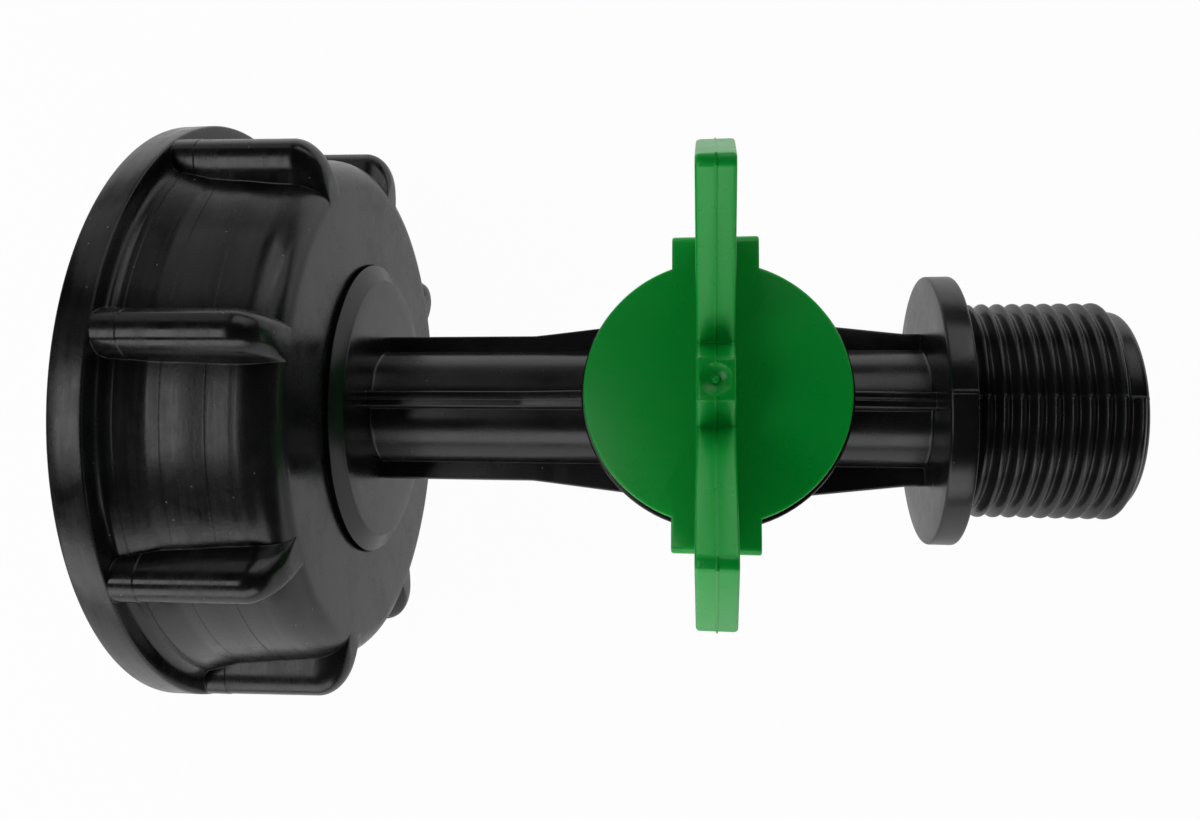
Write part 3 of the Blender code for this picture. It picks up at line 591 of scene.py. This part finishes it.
def coupling_nut(sizes):
    """The loose nut: flange, crowned lugs with rounded noses, sink marks and the coarse thread."""
    pitch = sizes.thread_pitch
    start, end = NUT_LOW.x, NUT_HIGH.x - NUT_END_WALL
    wall_start = NUT_LOW.x + NUT_FLANGE_THICKNESS + NUT_SKIRT_LENGTH
    rows = []
    for (x, radius), kind in nut_stations(sizes):
        row = []
        for i in range(NUT_COLUMNS):
            angle = 2 * math.pi * i / NUT_COLUMNS
            turns = x / pitch - angle / (2 * math.pi)
            r = radius
            if kind == "thread":
                r -= sizes.thread_depth * thread_share(turns) * fade(x, start, end, pitch / 3)
            elif kind == "wall":
                r += NUT_SINK * math.cos(2 * math.pi * turns) * fade(x, wall_start, end, pitch / 2)
            row.append((x, r * math.sin(angle), r * math.cos(angle)))
        rows.append(row)
    piece = skin("coupling_nut_moulding", rows, ring_of_rows=True)
    combine(piece, lug_ring(sizes))
    for place, height in WITNESS_LINES:
        combine(piece, witness_ring(sizes, place, height))
    smooth_by_angle(piece)
    return piece


# Valve body


def spine_stations(sizes):
    """The body's turned outline from the outlet to the tail: (x, radius), and thread marks."""
    end = BODY_HIGH.x
    flange_face = FLANGE_BACK + FLANGE_THICKNESS
    floor = FLANGE_BACK + FLANGE_THICKNESS / 2
    edge = 0.3 * MM
    tip = PILOT_TIP
    pipe_fillet = 0.3 * MM
    collar_face = COLLAR_FACE
    bead = COLLAR_RADIUS
    bead_top = COLLAR_TOP_RADIUS
    tail_back = TAIL_FRONT + TAIL_THICKNESS
    cup = 16.3 * MM
    cup_floor = collar_face - 2.1 * MM
    plain = line((floor, sizes.bore_radius + edge), (floor + 2.6 * MM, OUTLET_BORE), 4)
    plain += line((floor + 2.6 * MM, OUTLET_BORE), (end - edge, OUTLET_BORE), 6)[1:]
    plain += arc((end - edge, OUTLET_BORE + edge), edge, 270, 360, 3)[1:]
    plain += line((end, OUTLET_BORE + edge), (end, PILOT_END_RADIUS - tip), 2)[1:]
    plain += arc((end - tip, PILOT_END_RADIUS - tip), tip, 0, 75, 8)[1:]
    thread_end = end - tip
    thread_start = flange_face + 0.5 * MM
    count = round((thread_end - thread_start) / sizes.thread_pitch * 12)
    thread = line((thread_end, sizes.thread_radius), (thread_start, sizes.thread_radius), count)
    rim = FLANGE_RADIUS
    rest = [(flange_face + edge, sizes.thread_radius - sizes.thread_depth / 2)]
    rest += arc((flange_face + edge, sizes.thread_radius + edge / 3), edge, 260, 180, 2)
    rest += line((flange_face, sizes.thread_radius + edge), (flange_face, rim - edge), 3)[1:]
    rest += arc((flange_face - edge, rim - edge), edge, 0, 90, 4)[1:]
    rest += line((flange_face - edge, rim), (FLANGE_BACK + edge, rim), 3)[1:]
    rest += arc((FLANGE_BACK + edge, rim - edge), edge, 90, 180, 4)[1:]
    fillet_y = sizes.pipe_radius + pipe_fillet
    rest += line((FLANGE_BACK, rim - edge), (FLANGE_BACK, fillet_y), 3)[1:]
    rest += arc((FLANGE_BACK - pipe_fillet, fillet_y), pipe_fillet, 0, -90, 6)[1:]
    rest += line((FLANGE_BACK - pipe_fillet, sizes.pipe_radius),
                 (collar_face + pipe_fillet, sizes.pipe_radius), 12)[1:]
    rest += arc((collar_face + pipe_fillet, fillet_y), pipe_fillet, -90, -180, 6)[1:]
    rest += line((collar_face, fillet_y), (collar_face, bead_top - edge), 4)[1:]
    rest += arc((collar_face - edge, bead_top - edge), edge, 15, 55, 3)
    rest += [(BEAD_START + edge, bead), (BEAD_START, bead - edge), (BEAD_START, HUB_RADIUS)]
    rest += line((BEAD_START, HUB_RADIUS), (tail_back, HUB_RADIUS), 2)[1:]
    rest += [(tail_back, TAIL_RADIUS - edge), (tail_back - edge, TAIL_RADIUS)]
    rest += [(TAIL_FRONT + edge, TAIL_RADIUS), (TAIL_FRONT, TAIL_RADIUS - edge)]
    rest += line((TAIL_FRONT, TAIL_RADIUS - edge), (TAIL_FRONT, cup + edge), 3)[1:]
    rest += arc((TAIL_FRONT + edge, cup + edge), edge, 180, 270, 3)[1:]
    rest += line((TAIL_FRONT + edge, cup), (cup_floor - 2.0 * MM, cup), 3)[1:]
    rest += arc((cup_floor - 2.0 * MM, cup - 1.4 * MM), 1.4 * MM, 90, 30, 4)[1:]
    rest += [(cup_floor, sizes.bore_radius + 1.6 * MM), (cup_floor, sizes.bore_radius + edge)]
    stations = [(point, "plain") for point in plain]
    stations += [(point, "thread") for point in thread]
    stations += [(point, "plain") for point in rest]
    return stations, thread_start, thread_end


def threaded_radius(sizes, x, angle, start, end):
    """Radius of the outlet's thread; past its last turn it drops to a cone that leads a nut on."""
    turns = x / sizes.thread_pitch - angle / (2 * math.pi) + PIPE_THREAD_PHASE
    wave = 0.5 - 0.5 * math.cos(2 * math.pi * turns)
    depth = sizes.thread_depth * wave ** 1.2
    if x < start + sizes.thread_pitch:
        ease = (x - start) / sizes.thread_pitch
        depth = depth * ease + sizes.thread_depth * (1.0 - ease) * 0.75
    thread = sizes.thread_radius - depth
    pilot = PILOT_RADIUS - (PILOT_RADIUS - PILOT_END_RADIUS) * (x - end + 2.0 * MM) / (2.0 * MM)
    if turns > PIPE_THREAD_TURNS + 0.5:
        return pilot
    if turns > PIPE_THREAD_TURNS:
        return max(thread, pilot)
    return thread


def spine_angles():
    """Angles round the pipe, closer together beside the parting line at top and bottom."""
    angles = [2 * math.pi * i / SPINE_COLUMNS for i in range(SPINE_COLUMNS)]
    for middle in (0.0, math.pi):
        angles += [(middle + step) % (2 * math.pi) for step in (-0.016, -0.009, 0.009, 0.016)]
    return sorted(set(angles))


def spine(sizes):
    """Tail, pipe, flange and threaded outlet as one turned solid with a raised parting line."""
    stations, start, end = spine_stations(sizes)
    angles = spine_angles()
    rows = []
    for (x, radius), kind in stations:
        row = []
        for angle in angles:
            r = radius
            off = min(abs(angle), abs(angle - math.pi), abs(angle - 2 * math.pi))
            if kind == "thread":
                r = threaded_radius(sizes, x, angle, start, end)
            if off < 0.01 and radius > sizes.pipe_radius and x > FLANGE_BACK:
                r += sizes.parting_height
            row.append((x, r * math.sin(angle), r * math.cos(angle)))
        rows.append(row)
    return skin("valve_body_moulding", rows)


def rib_plate(name, sizes, upright):
    """Two ribs on opposite sides as one plate, flared into the barrel, with rounded edges."""
    flare_start = 23.7 * MM
    flare_rise = 1.9 * MM
    inside = 7.2 * MM
    bend = 0.4 * MM
    runs = [(COLLAR_FACE - 1.0 * MM, 0.0)]
    left = [(flare_start + bend, 0.0), (flare_start, flare_rise * 0.01),
            (flare_start - bend, flare_rise * 0.03)]
    left += [(flare_start - (flare_start - inside) * i / 8, flare_rise * i / 8) for i in range(1, 9)]
    runs += [(SPINDLE_X - reach, rise) for reach, rise in left]
    runs += [(SPINDLE_X + reach, rise) for reach, rise in reversed(left)]
    runs.append((FLANGE_BACK + 0.6 * MM, 0.0))
    half = sizes.rib_thickness / 2
    root = half + 0.15 * MM
    edge = 0.3 * MM
    ridge = sizes.parting_height if upright else 0.0
    rows = []
    for x, rise in runs:
        top = sizes.rib_height + rise
        side = [(root, 0.0)] + [(half, top - edge)]
        side += arc((half - edge, top - edge), edge, 30, 90, 2)
        side += [(0.16 * MM, top), (0.08 * MM, top + ridge)]
        quarter = side + [(-across, up) for across, up in reversed(side)]
        loop = quarter + [(-across, -up) for across, up in quarter[1:-1]]
        if upright:
            rows.append([(x, across, up) for across, up in loop])
        else:
            rows.append([(x, up, -across) for across, up in loop])
    return skin(name, rows)


def barrel():
    """The upright barrel with its snap rim, as a solid to be bored."""
    low, high = BODY_BARREL_LOW, PLUG_HIGH.z
    edge = 0.3 * MM
    foot = 0.9 * MM
    rim_under = high - 2.0 * MM
    profile = [(high, 0.5 * MM)]
    profile += arc((high - edge, BARREL_RIM - edge), edge, 0, 90, 3)
    profile += [(rim_under + edge, BARREL_RIM), (rim_under, BARREL_RIM - edge), (rim_under, BARREL_RADIUS)]
    profile += line((rim_under, BARREL_RADIUS), (low + foot, BARREL_RADIUS), 6)[1:]
    profile += arc((low + foot, BARREL_RADIUS - foot), foot, 90, 180, 6)[1:]
    profile += [(low, 0.5 * MM)]
    rows = []
    for z, radius in profile:
        ring = [2 * math.pi * i / BARREL_COLUMNS for i in range(BARREL_COLUMNS)]
        rows.append([(SPINDLE_X + radius * math.cos(a), radius * math.sin(a), z) for a in ring])
    return skin("barrel", rows)


def stop_block(turn):
    """One arc block under the rim that a hook turns against."""
    inner, outer = BARREL_RADIUS - 0.5 * MM, BARREL_RIM - 0.2 * MM
    top = PLUG_HIGH.z - 1.6 * MM
    bottom = PLUG_HIGH.z - 3.7 * MM
    start = math.degrees(math.asin(5.3 * MM / BARREL_RADIUS))
    outline = arc((0.0, 0.0), outer, start, 90 - start, 8) + arc((0.0, 0.0), inner, 90 - start, start, 8)
    cos, sin = math.cos(turn), math.sin(turn)

    def place(u, v, w):
        return (SPINDLE_X + u * cos - v * sin, u * sin + v * cos, (top + bottom) / 2 + w)

    return extruded("stop_block", outline, place, lambda v: (top - bottom) / 2)


def round_cutter(radius, start, end, columns, axis):
    """A plain round cutter along the pipe or the spindle."""
    rows = []
    for place in (start, end):
        ring = [2 * math.pi * i / columns for i in range(columns)]
        if axis == 'X':
            rows.append([(place, radius * math.sin(a), radius * math.cos(a)) for a in ring])
        else:
            rows.append([(SPINDLE_X + radius * math.cos(a), radius * math.sin(a), place) for a in ring])
    return skin("round_cutter", rows)


def valve_body(sizes):
    """The one-piece moulding: spine, ribs, barrel and stops, bored for the plug and the flow."""
    piece = spine(sizes)
    combine(piece, rib_plate("ribs_upright", sizes, True))
    combine(piece, rib_plate("ribs_level", sizes, False))
    combine(piece, barrel())
    for turn in (0.0, math.pi):
        combine(piece, stop_block(turn))
    floor = BODY_BARREL_LOW + CHAMBER_FLOOR
    chamber = round_cutter(CHAMBER_RADIUS, floor, PLUG_HIGH.z + CUT_OVERRUN, BARREL_COLUMNS, 'Z')
    combine(piece, chamber, 'DIFFERENCE')
    combine(piece, round_cutter(sizes.bore_radius, TAIL_FRONT, BODY_HIGH.x, 64, 'X'), 'DIFFERENCE')
    smooth_by_angle(piece)
    return piece


# Handle


def wing_half():
    """Half the butterfly's outline, from its middle out: (reach, height over the disc)."""
    return [
        (2.3 * MM, 9.1 * MM),
        (4.6 * MM, 5.1 * MM),
        (18.1 * MM, 24.0 * MM),
        (19.3 * MM, 24.0 * MM),
        (25.7 * MM, 11.3 * MM),
        (17.6 * MM, 0.0),
    ]


def wing_outline(grow, sunk):
    """The butterfly's outline, grown outward, with its foot sunk into the disc."""
    right = [(reach, HANDLE_DISC_TOP + height) for reach, height in wing_half()]
    right.append((right[-1][0], HANDLE_DISC_TOP - sunk))
    outline = right + [(-reach, height) for reach, height in reversed(right)]
    count = len(outline)
    grown = []
    for i, (u, v) in enumerate(outline):
        before = Vector(outline[i - 1])
        after = Vector(outline[(i + 1) % count])
        here = Vector((u, v))
        first, second = (here - before).normalized(), (after - here).normalized()
        normal = Vector((-first.y - second.y, first.x + second.x)).normalized()
        stretch = grow / max(0.3, normal.dot(Vector((-first.y, first.x))))
        grown.append(tuple(here + normal * stretch))
    return grown


def wing(sizes):
    """The butterfly fin across the disc, thinner towards its crest, with rounded edges."""
    crest = HANDLE_HIGH.z

    def half_thickness(v):
        share = (v - HANDLE_DISC_TOP) / (crest - HANDLE_DISC_TOP)
        return (sizes.wing_thickness - sizes.wing_draft * share) / 2

    def place(u, v, w):
        return (SPINDLE_X + w, u, v)

    fin = extruded("wing", wing_outline(0.0, 1.0 * MM), place, half_thickness)
    round_edges(fin, sizes.edge_radius)
    flash = extruded("wing_parting_line", wing_outline(0.07 * MM, 0.9 * MM), place, lambda v: 0.1 * MM)
    return combine(fin, flash)


def disc(sizes):
    """The handle's round disc with softened edges."""
    edge = 0.3 * MM
    low, high = PLUG_HIGH.z + 0.3 * MM, HANDLE_DISC_TOP
    profile = [(high, 0.5 * MM)] + arc((high - edge, sizes.disc_radius - edge), edge, 0, 90, 3)
    profile += arc((low + edge, sizes.disc_radius - edge), edge, 90, 180, 3) + [(low, 0.5 * MM)]
    ring = [2 * math.pi * i / DISC_COLUMNS for i in range(DISC_COLUMNS)]
    rows = []
    for z, radius in profile:
        rows.append([(SPINDLE_X + radius * math.cos(a), radius * math.sin(a), z) for a in ring])
    return skin("butterfly_handle", rows)


def tab_with_hook(side):
    """A side tab whose leg reaches down and hooks under the barrel's rim."""
    top = HANDLE_DISC_TOP
    low = PLUG_HIGH.z + 0.3 * MM
    reach = HANDLE_TAB_REACH
    leg = reach - 2.2 * MM
    catch = BARREL_RADIUS + 0.3 * MM
    hook_top = PLUG_HIGH.z - 2.3 * MM
    foot = HANDLE_LOW_HOOK
    shoulder = 0.9 * MM
    outline = [(9.0 * MM, low), (9.0 * MM, top)]
    outline += arc((reach - shoulder, top - shoulder), shoulder, 90, 0, 5)
    outline += [(reach, foot), (catch + 0.6 * MM, foot), (catch, foot + 0.6 * MM), (catch, hook_top)]
    outline += [(leg, hook_top), (leg, low)]

    def place(u, v, w):
        return (SPINDLE_X + w, side * u, v)

    tab = extruded("tab", outline, place, lambda v: TAB_HALF_WIDTH)
    return round_edges(tab, 0.25 * MM, 2)


def gate_dimple(sizes, saddle):
    """The round hollow left at the injection gate, as a ball to be cut away."""
    depth = 0.65 * MM
    radius = (sizes.gate_radius ** 2 + depth ** 2) / (2 * depth)
    shape = bmesh.new()
    bmesh.ops.create_uvsphere(shape, u_segments=64, v_segments=48, radius=radius)
    shape.transform(Matrix.Translation((SPINDLE_X, 0.0, saddle - depth + radius)))
    mesh = bpy.data.meshes.new("gate_dimple")
    shape.to_mesh(mesh)
    shape.free()
    ball = bpy.data.objects.new("gate_dimple", mesh)
    bpy.context.scene.collection.objects.link(ball)
    return ball


def gate_nub(saddle):
    """The broken-off sprue in the middle of the dimple."""
    profile = [(saddle - 0.25 * MM, 0.3 * MM), (saddle - 0.35 * MM, 0.42 * MM),
               (saddle - 1.0 * MM, 0.6 * MM)]
    ring = [2 * math.pi * i / 20 for i in range(20)]
    rows = [[(SPINDLE_X + r * math.cos(a), r * math.sin(a), z) for a in ring] for z, r in profile]
    return skin("gate_nub", rows)


def butterfly_handle(sizes):
    """Disc, tabs with hooks, fin with its gate mark, and the tongue that drives the plug."""
    piece = disc(sizes)
    for side in (-1, 1):
        combine(piece, tab_with_hook(side))
    combine(piece, wing(sizes))
    saddle = HANDLE_DISC_TOP + wing_half()[0][1]
    combine(piece, gate_dimple(sizes, saddle), 'DIFFERENCE')
    combine(piece, gate_nub(saddle))
    root = HANDLE_DISC_TOP - 1.0 * MM
    tongue = extruded(
        "tongue", [(-TONGUE_REACH, HANDLE_LOW.z), (TONGUE_REACH, HANDLE_LOW.z),
                   (TONGUE_REACH, root), (-TONGUE_REACH, root)],
        lambda u, v, w: (SPINDLE_X + w, u, v), lambda v: TONGUE_HALF_THICKNESS)
    combine(piece, round_edges(tongue, 0.3 * MM, 2))
    smooth_by_angle(piece)
    return piece


# Values read from the frame or measured beside it

NUT_FLANGE_THICKNESS = 4.1 * MM
NUT_WALL_DRAFT = 0.9 * MM
NUT_END_WALL = 3.0 * MM
NUT_BORE_RADIUS = 30.3 * MM
NUT_SKIRT_RISE = 0.9 * MM
NUT_SKIRT_LENGTH = 4.7 * MM
NUT_SKIRT_TURN = -15.0
NUT_FLANGE_FILLET = 1.4 * MM
NUT_SINK = 0.03 * MM
NUT_COLUMNS = 256
HOLE_CHAMFER = 0.5 * MM
WITNESS_LINES = ((-7.2 * MM, 0.03 * MM), (-2.5 * MM, 0.02 * MM), (2.4 * MM, 0.012 * MM))
BODY_HOLE_RADIUS = 18.9 * MM
LUG_END_INSET = 0.04 * MM
LUG_CREST_DRAFT = 0.4 * MM
LUG_CROWN_TURN = 20.0
LUG_SHOULDER_TURN = 42.0
LUG_BELLY_RADIUS = 4.4 * MM
LUG_SIDE_DRAFT = 8.0
LUG_NOSE_LENGTH = 4.2 * MM
LUG_NOSE_DROP = 5.2 * MM
LUG_NOSE_TAPER = 0.3
LUG_STEP = 0.06 * MM
LUG_STEP_PLACE = -5.9 * MM
FLANGE_BACK = SPINDLE_X + 25.6 * MM
FLANGE_THICKNESS = 3.1 * MM
FLANGE_RADIUS = 16.7 * MM
PILOT_RADIUS = 12.3 * MM
PILOT_END_RADIUS = 12.1 * MM
PILOT_TIP = 0.9 * MM
PIPE_THREAD_PHASE = 0.35
PIPE_THREAD_TURNS = 56
OUTLET_BORE = 9.6 * MM
BEAD_START = NUT_HIGH.x + 0.3 * MM
COLLAR_FACE = BEAD_START + 1.5 * MM
COLLAR_RADIUS = 19.3 * MM
COLLAR_TOP_RADIUS = 17.4 * MM
HUB_RADIUS = 18.6 * MM
TAIL_FRONT = BODY_LOW.x
TAIL_THICKNESS = 3.5 * MM
TAIL_RADIUS = BODY_HIGH.y
BARREL_RADIUS = 14.4 * MM
BARREL_RIM = 15.7 * MM
BODY_BARREL_LOW = -14.6 * MM
CHAMBER_RADIUS = 12.7 * MM
CHAMBER_FLOOR = 2.0 * MM
CUT_OVERRUN = 1.0 * MM
HANDLE_DISC_TOP = HANDLE_HIGH.z - 24.0 * MM
HANDLE_TAB_REACH = 18.3 * MM
TAB_HALF_WIDTH = 5.0 * MM
TONGUE_REACH = 7.0 * MM
TONGUE_HALF_THICKNESS = 2.5 * MM
HANDLE_LOW_HOOK = PLUG_HIGH.z - 3.6 * MM
SPINE_COLUMNS = 144
BARREL_COLUMNS = 96
DISC_COLUMNS = 128


# Stage


def paint_floor():
    """White paper that takes a soft shadow; the glow that gloss sees is painted dimmer along the pipe's
    line, a painted shadow of the valve in its reflections.
    """
    material = bpy.data.materials.new("white_paper_seamless")
    material.use_nodes = True
    tree = material.node_tree
    tree.nodes.clear()
    paper = add_node(tree, "ShaderNodeBsdfDiffuse", {"Color": linear("#f2f2f2")})
    glow = add_node(tree, "ShaderNodeEmission", {"Color": (1.0, 1.0, 1.0, 1.0), "Strength": 1.0})
    spot = add_node(tree, "ShaderNodeSeparateXYZ", {
        "Vector": add_node(tree, "ShaderNodeTexCoord").outputs["Object"]})
    apart = add_node(tree, "ShaderNodeMath", {0: spot.outputs["Y"]}, operation='ABSOLUTE')
    # Painted shadow: the gloss glow is cut near the pipe's line, standing in for the valve's shade on the
    # paper.
    painted_shadow_share = add_node(tree, "ShaderNodeMapRange", {
        "Value": apart.outputs["Value"], "From Min": 0.05, "From Max": 0.10,
        "To Min": 0.30, "To Max": 0.80})
    path = add_node(tree, "ShaderNodeLightPath")
    gloss = add_node(tree, "ShaderNodeMath", {
        0: path.outputs["Is Glossy Ray"], 1: painted_shadow_share.outputs["Result"]}, operation='MULTIPLY')
    share = add_node(tree, "ShaderNodeMath", {
        0: path.outputs["Is Camera Ray"], 1: 0.97, 2: gloss.outputs["Value"]}, operation='MULTIPLY_ADD')
    mix = add_node(tree, "ShaderNodeMixShader", {
        0: share.outputs["Value"], 1: paper.outputs["BSDF"], 2: glow.outputs["Emission"]})
    add_node(tree, "ShaderNodeOutputMaterial", {"Surface": mix.outputs["Shader"]})
    return material


def light_tent():
    """A white tent round the table, darker overhead and where it opens towards the outlet."""
    world = bpy.data.worlds.new("white_tent")
    world.use_nodes = True
    tree = world.node_tree
    tree.nodes.clear()
    direction = add_node(tree, "ShaderNodeTexCoord").outputs["Generated"]
    way = add_node(tree, "ShaderNodeSeparateXYZ", {"Vector": direction})
    shade = add_node(tree, "ShaderNodeMapRange", {
        "Value": way.outputs["Z"], "From Min": 0.0, "From Max": 0.45, "To Min": 0.42, "To Max": 0.02})
    side = add_node(tree, "ShaderNodeMapRange", {
        "Value": way.outputs["X"], "From Min": -0.1, "From Max": 0.35, "To Min": 1.0, "To Max": 0.12})
    tent = add_node(tree, "ShaderNodeMath", {
        0: shade.outputs["Result"], 1: side.outputs["Result"]}, operation='MULTIPLY')
    path = add_node(tree, "ShaderNodeLightPath")
    seen = add_node(tree, "ShaderNodeMix", {
        0: path.outputs["Is Camera Ray"], 2: tent.outputs["Value"], 3: 1.0})
    background = add_node(tree, "ShaderNodeBackground", {
        "Color": (1.0, 1.0, 1.0, 1.0), "Strength": seen.outputs[0]})
    add_node(tree, "ShaderNodeOutputWorld", {"Surface": background.outputs["Background"]})
    bpy.context.scene.world = world


def soft_lamp(name, place, size, radiance, facing):
    """A soft lamp of a given width, height and brightness that faces along a direction."""
    light = bpy.data.lights.new(name, 'AREA')
    light.shape = 'RECTANGLE'
    light.size, light.size_y = size
    light.energy = math.pi * radiance * size[0] * size[1]
    lamp = bpy.data.objects.new(name, light)
    lamp.location = place
    lamp.rotation_euler = Vector(facing).to_track_quat('-Z', 'Y').to_euler()
    bpy.context.scene.collection.objects.link(lamp)
    return lamp


def tent_walls(middle, radiance):
    """Low lamps on four sides, hidden from gloss, so they lift colours and not the black's shine."""
    for name, way, share in (("wall_front", (0.0, -1.0, 0.0), 1.0), ("wall_back", (0.0, 1.0, 0.0), 1.3),
                             ("wall_outlet", (1.0, 0.0, 0.0), 0.25), ("wall_nut", (-1.0, 0.0, 0.0), 0.5)):
        out = Vector(way)
        wall = soft_lamp(name, middle + 0.42 * out + Vector((0.0, 0.0, 0.05)), (0.44, 0.16),
                         radiance * share, -out)
        wall.visible_glossy = False


# Operators


class TANKVALVE_OT_coupling_nut(Operator):
    """Build the coupling nut over its solid"""
    bl_idname = "tankvalve.coupling_nut"
    bl_label = "Coupling nut"

    def execute(self, context):
        scene = context.scene
        piece = coupling_nut(scene.valve_nut)
        dress(piece, nut_polypropylene(scene.valve_finishes), "nut", "black_plastic", "coupling_nut")
        return {'FINISHED'}


class TANKVALVE_OT_valve_body(Operator):
    """Build the moulded valve body over its solid"""
    bl_idname = "tankvalve.valve_body"
    bl_label = "Valve body"

    def execute(self, context):
        scene = context.scene
        piece = valve_body(scene.valve_body)
        dress(piece, body_polypropylene(scene.valve_finishes), "body", "black_plastic", "valve_body")
        return {'FINISHED'}


class TANKVALVE_OT_handle(Operator):
    """Build the butterfly handle over its solid"""
    bl_idname = "tankvalve.handle"
    bl_label = "Butterfly handle"

    def execute(self, context):
        scene = context.scene
        piece = butterfly_handle(scene.valve_handle)
        dress(piece, green_polypropylene(scene.valve_finishes), "rotor", "green_plastic", "handle")
        return {'FINISHED'}


class TANKVALVE_OT_inner_parts(Operator):
    """Finish the plug, the gasket and the seals, whose solids are already right"""
    bl_idname = "tankvalve.inner_parts"
    bl_label = "Plug and seals"

    def execute(self, context):
        finishes = context.scene.valve_finishes
        acetal = white_acetal(finishes)
        rubber = black_rubber(finishes)
        for node, material in (("plug", acetal), ("tank_gasket", rubber), ("o_ring_upper", rubber),
                               ("o_ring_lower", rubber), ("port_seal_inlet", rubber),
                               ("port_seal_outlet", rubber)):
            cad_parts[node].data.materials.clear()
            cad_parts[node].data.materials.append(material)
        return {'FINISHED'}


class TANKVALVE_OT_stage(Operator):
    """Set the floor, the light and the camera"""
    bl_idname = "tankvalve.stage"
    bl_label = "Stage"

    def execute(self, context):
        setup = context.scene.valve_stage
        half = 2.0
        level = NUT_LOW.z - setup.floor_gap
        corners = ((-half, -half), (half, -half), (half, half), (-half, half))
        floor = new_piece("floor", [(x, y, level) for x, y in corners], [(0, 1, 2, 3)])
        floor.data.materials.append(paint_floor())
        light_tent()
        middle = Vector((40 * MM, 0.0, 0.0))
        soft_lamp("top_softbox", middle + Vector((-0.29, -0.10, 0.45)), (0.26, 0.28), 2.5, (0.0, 0.0, -1.0))
        soft_lamp("back_window", middle + Vector((-0.31, 0.45, 0.38)), (0.34, 0.46), 0.45, (0.0, -1.0, 0.0))
        soft_lamp("back_window_core", middle + Vector((0.16, 0.44, 0.42)), (0.32, 0.46), 1.2,
                  (0.0, -1.0, 0.0))
        soft_lamp("right_bank", middle + Vector((0.32, 0.34, 0.24)), (0.20, 0.34), 0.8,
                  (-0.55, -0.7, -0.45))
        soft_lamp("front_card", middle + Vector((-0.17, -0.50, 0.21)), (0.84, 0.26), 1.9, (0.0, 1.0, 0.0))
        tent_walls(middle, setup.wall_light)
        camera = bpy.data.objects.new("camera", bpy.data.cameras.new("camera"))
        camera.location = setup.camera_place
        turn = setup.camera_turn
        camera.rotation_euler = Euler((turn[0], turn[1], turn[2]), 'XYZ')
        camera.data.sensor_width = 36.0
        camera.data.lens = setup.lens
        camera.data.shift_x, camera.data.shift_y = setup.shift
        camera.data.clip_start = 5 * MM
        context.scene.collection.objects.link(camera)
        context.scene.camera = camera
        context.scene.view_settings.view_transform = 'Standard'
        return {'FINISHED'}


class TANKVALVE_PT_panel(Panel):
    """Buttons for the valve's pieces and their sizes"""
    bl_idname = "TANKVALVE_PT_panel"
    bl_label = "Tank valve"
    bl_space_type = 'VIEW_3D'
    bl_region_type = 'UI'
    bl_category = "Tank valve"

    def draw(self, context):
        scene = context.scene
        for operator, settings in PANEL_ROWS:
            box = self.layout.box()
            box.operator(operator.bl_idname)
            group = getattr(scene, settings)
            for name in group.bl_rna.properties.keys():
                if name not in {"rna_type", "name"}:
                    box.prop(group, name)


PIECE_OPERATORS = (
    TANKVALVE_OT_coupling_nut,
    TANKVALVE_OT_valve_body,
    TANKVALVE_OT_handle,
    TANKVALVE_OT_inner_parts,
    TANKVALVE_OT_stage,
)
PANEL_ROWS = tuple(zip(PIECE_OPERATORS, (
    "valve_nut", "valve_body", "valve_handle", "valve_finishes", "valve_stage")))
GROUPS = (NutSizes, BodySizes, HandleSizes, ValveFinishes, StageSetup)


def register():
    for group in GROUPS:
        bpy.utils.register_class(group)
    for operator in PIECE_OPERATORS:
        bpy.utils.register_class(operator)
    bpy.utils.register_class(TANKVALVE_PT_panel)
    bpy.types.Scene.valve_nut = PointerProperty(type=NutSizes)
    bpy.types.Scene.valve_body = PointerProperty(type=BodySizes)
    bpy.types.Scene.valve_handle = PointerProperty(type=HandleSizes)
    bpy.types.Scene.valve_finishes = PointerProperty(type=ValveFinishes)
    bpy.types.Scene.valve_stage = PointerProperty(type=StageSetup)


def unregister():
    for name in ("valve_nut", "valve_body", "valve_handle", "valve_finishes", "valve_stage"):
        delattr(bpy.types.Scene, name)
    bpy.utils.unregister_class(TANKVALVE_PT_panel)
    for operator in reversed(PIECE_OPERATORS):
        bpy.utils.unregister_class(operator)
    for group in reversed(GROUPS):
        bpy.utils.unregister_class(group)


def main():
    register()
    bpy.ops.tankvalve.coupling_nut()
    bpy.ops.tankvalve.valve_body()
    bpy.ops.tankvalve.handle()
    bpy.ops.tankvalve.inner_parts()
    bpy.ops.tankvalve.stage()


if __name__ == "__main__":
    main()
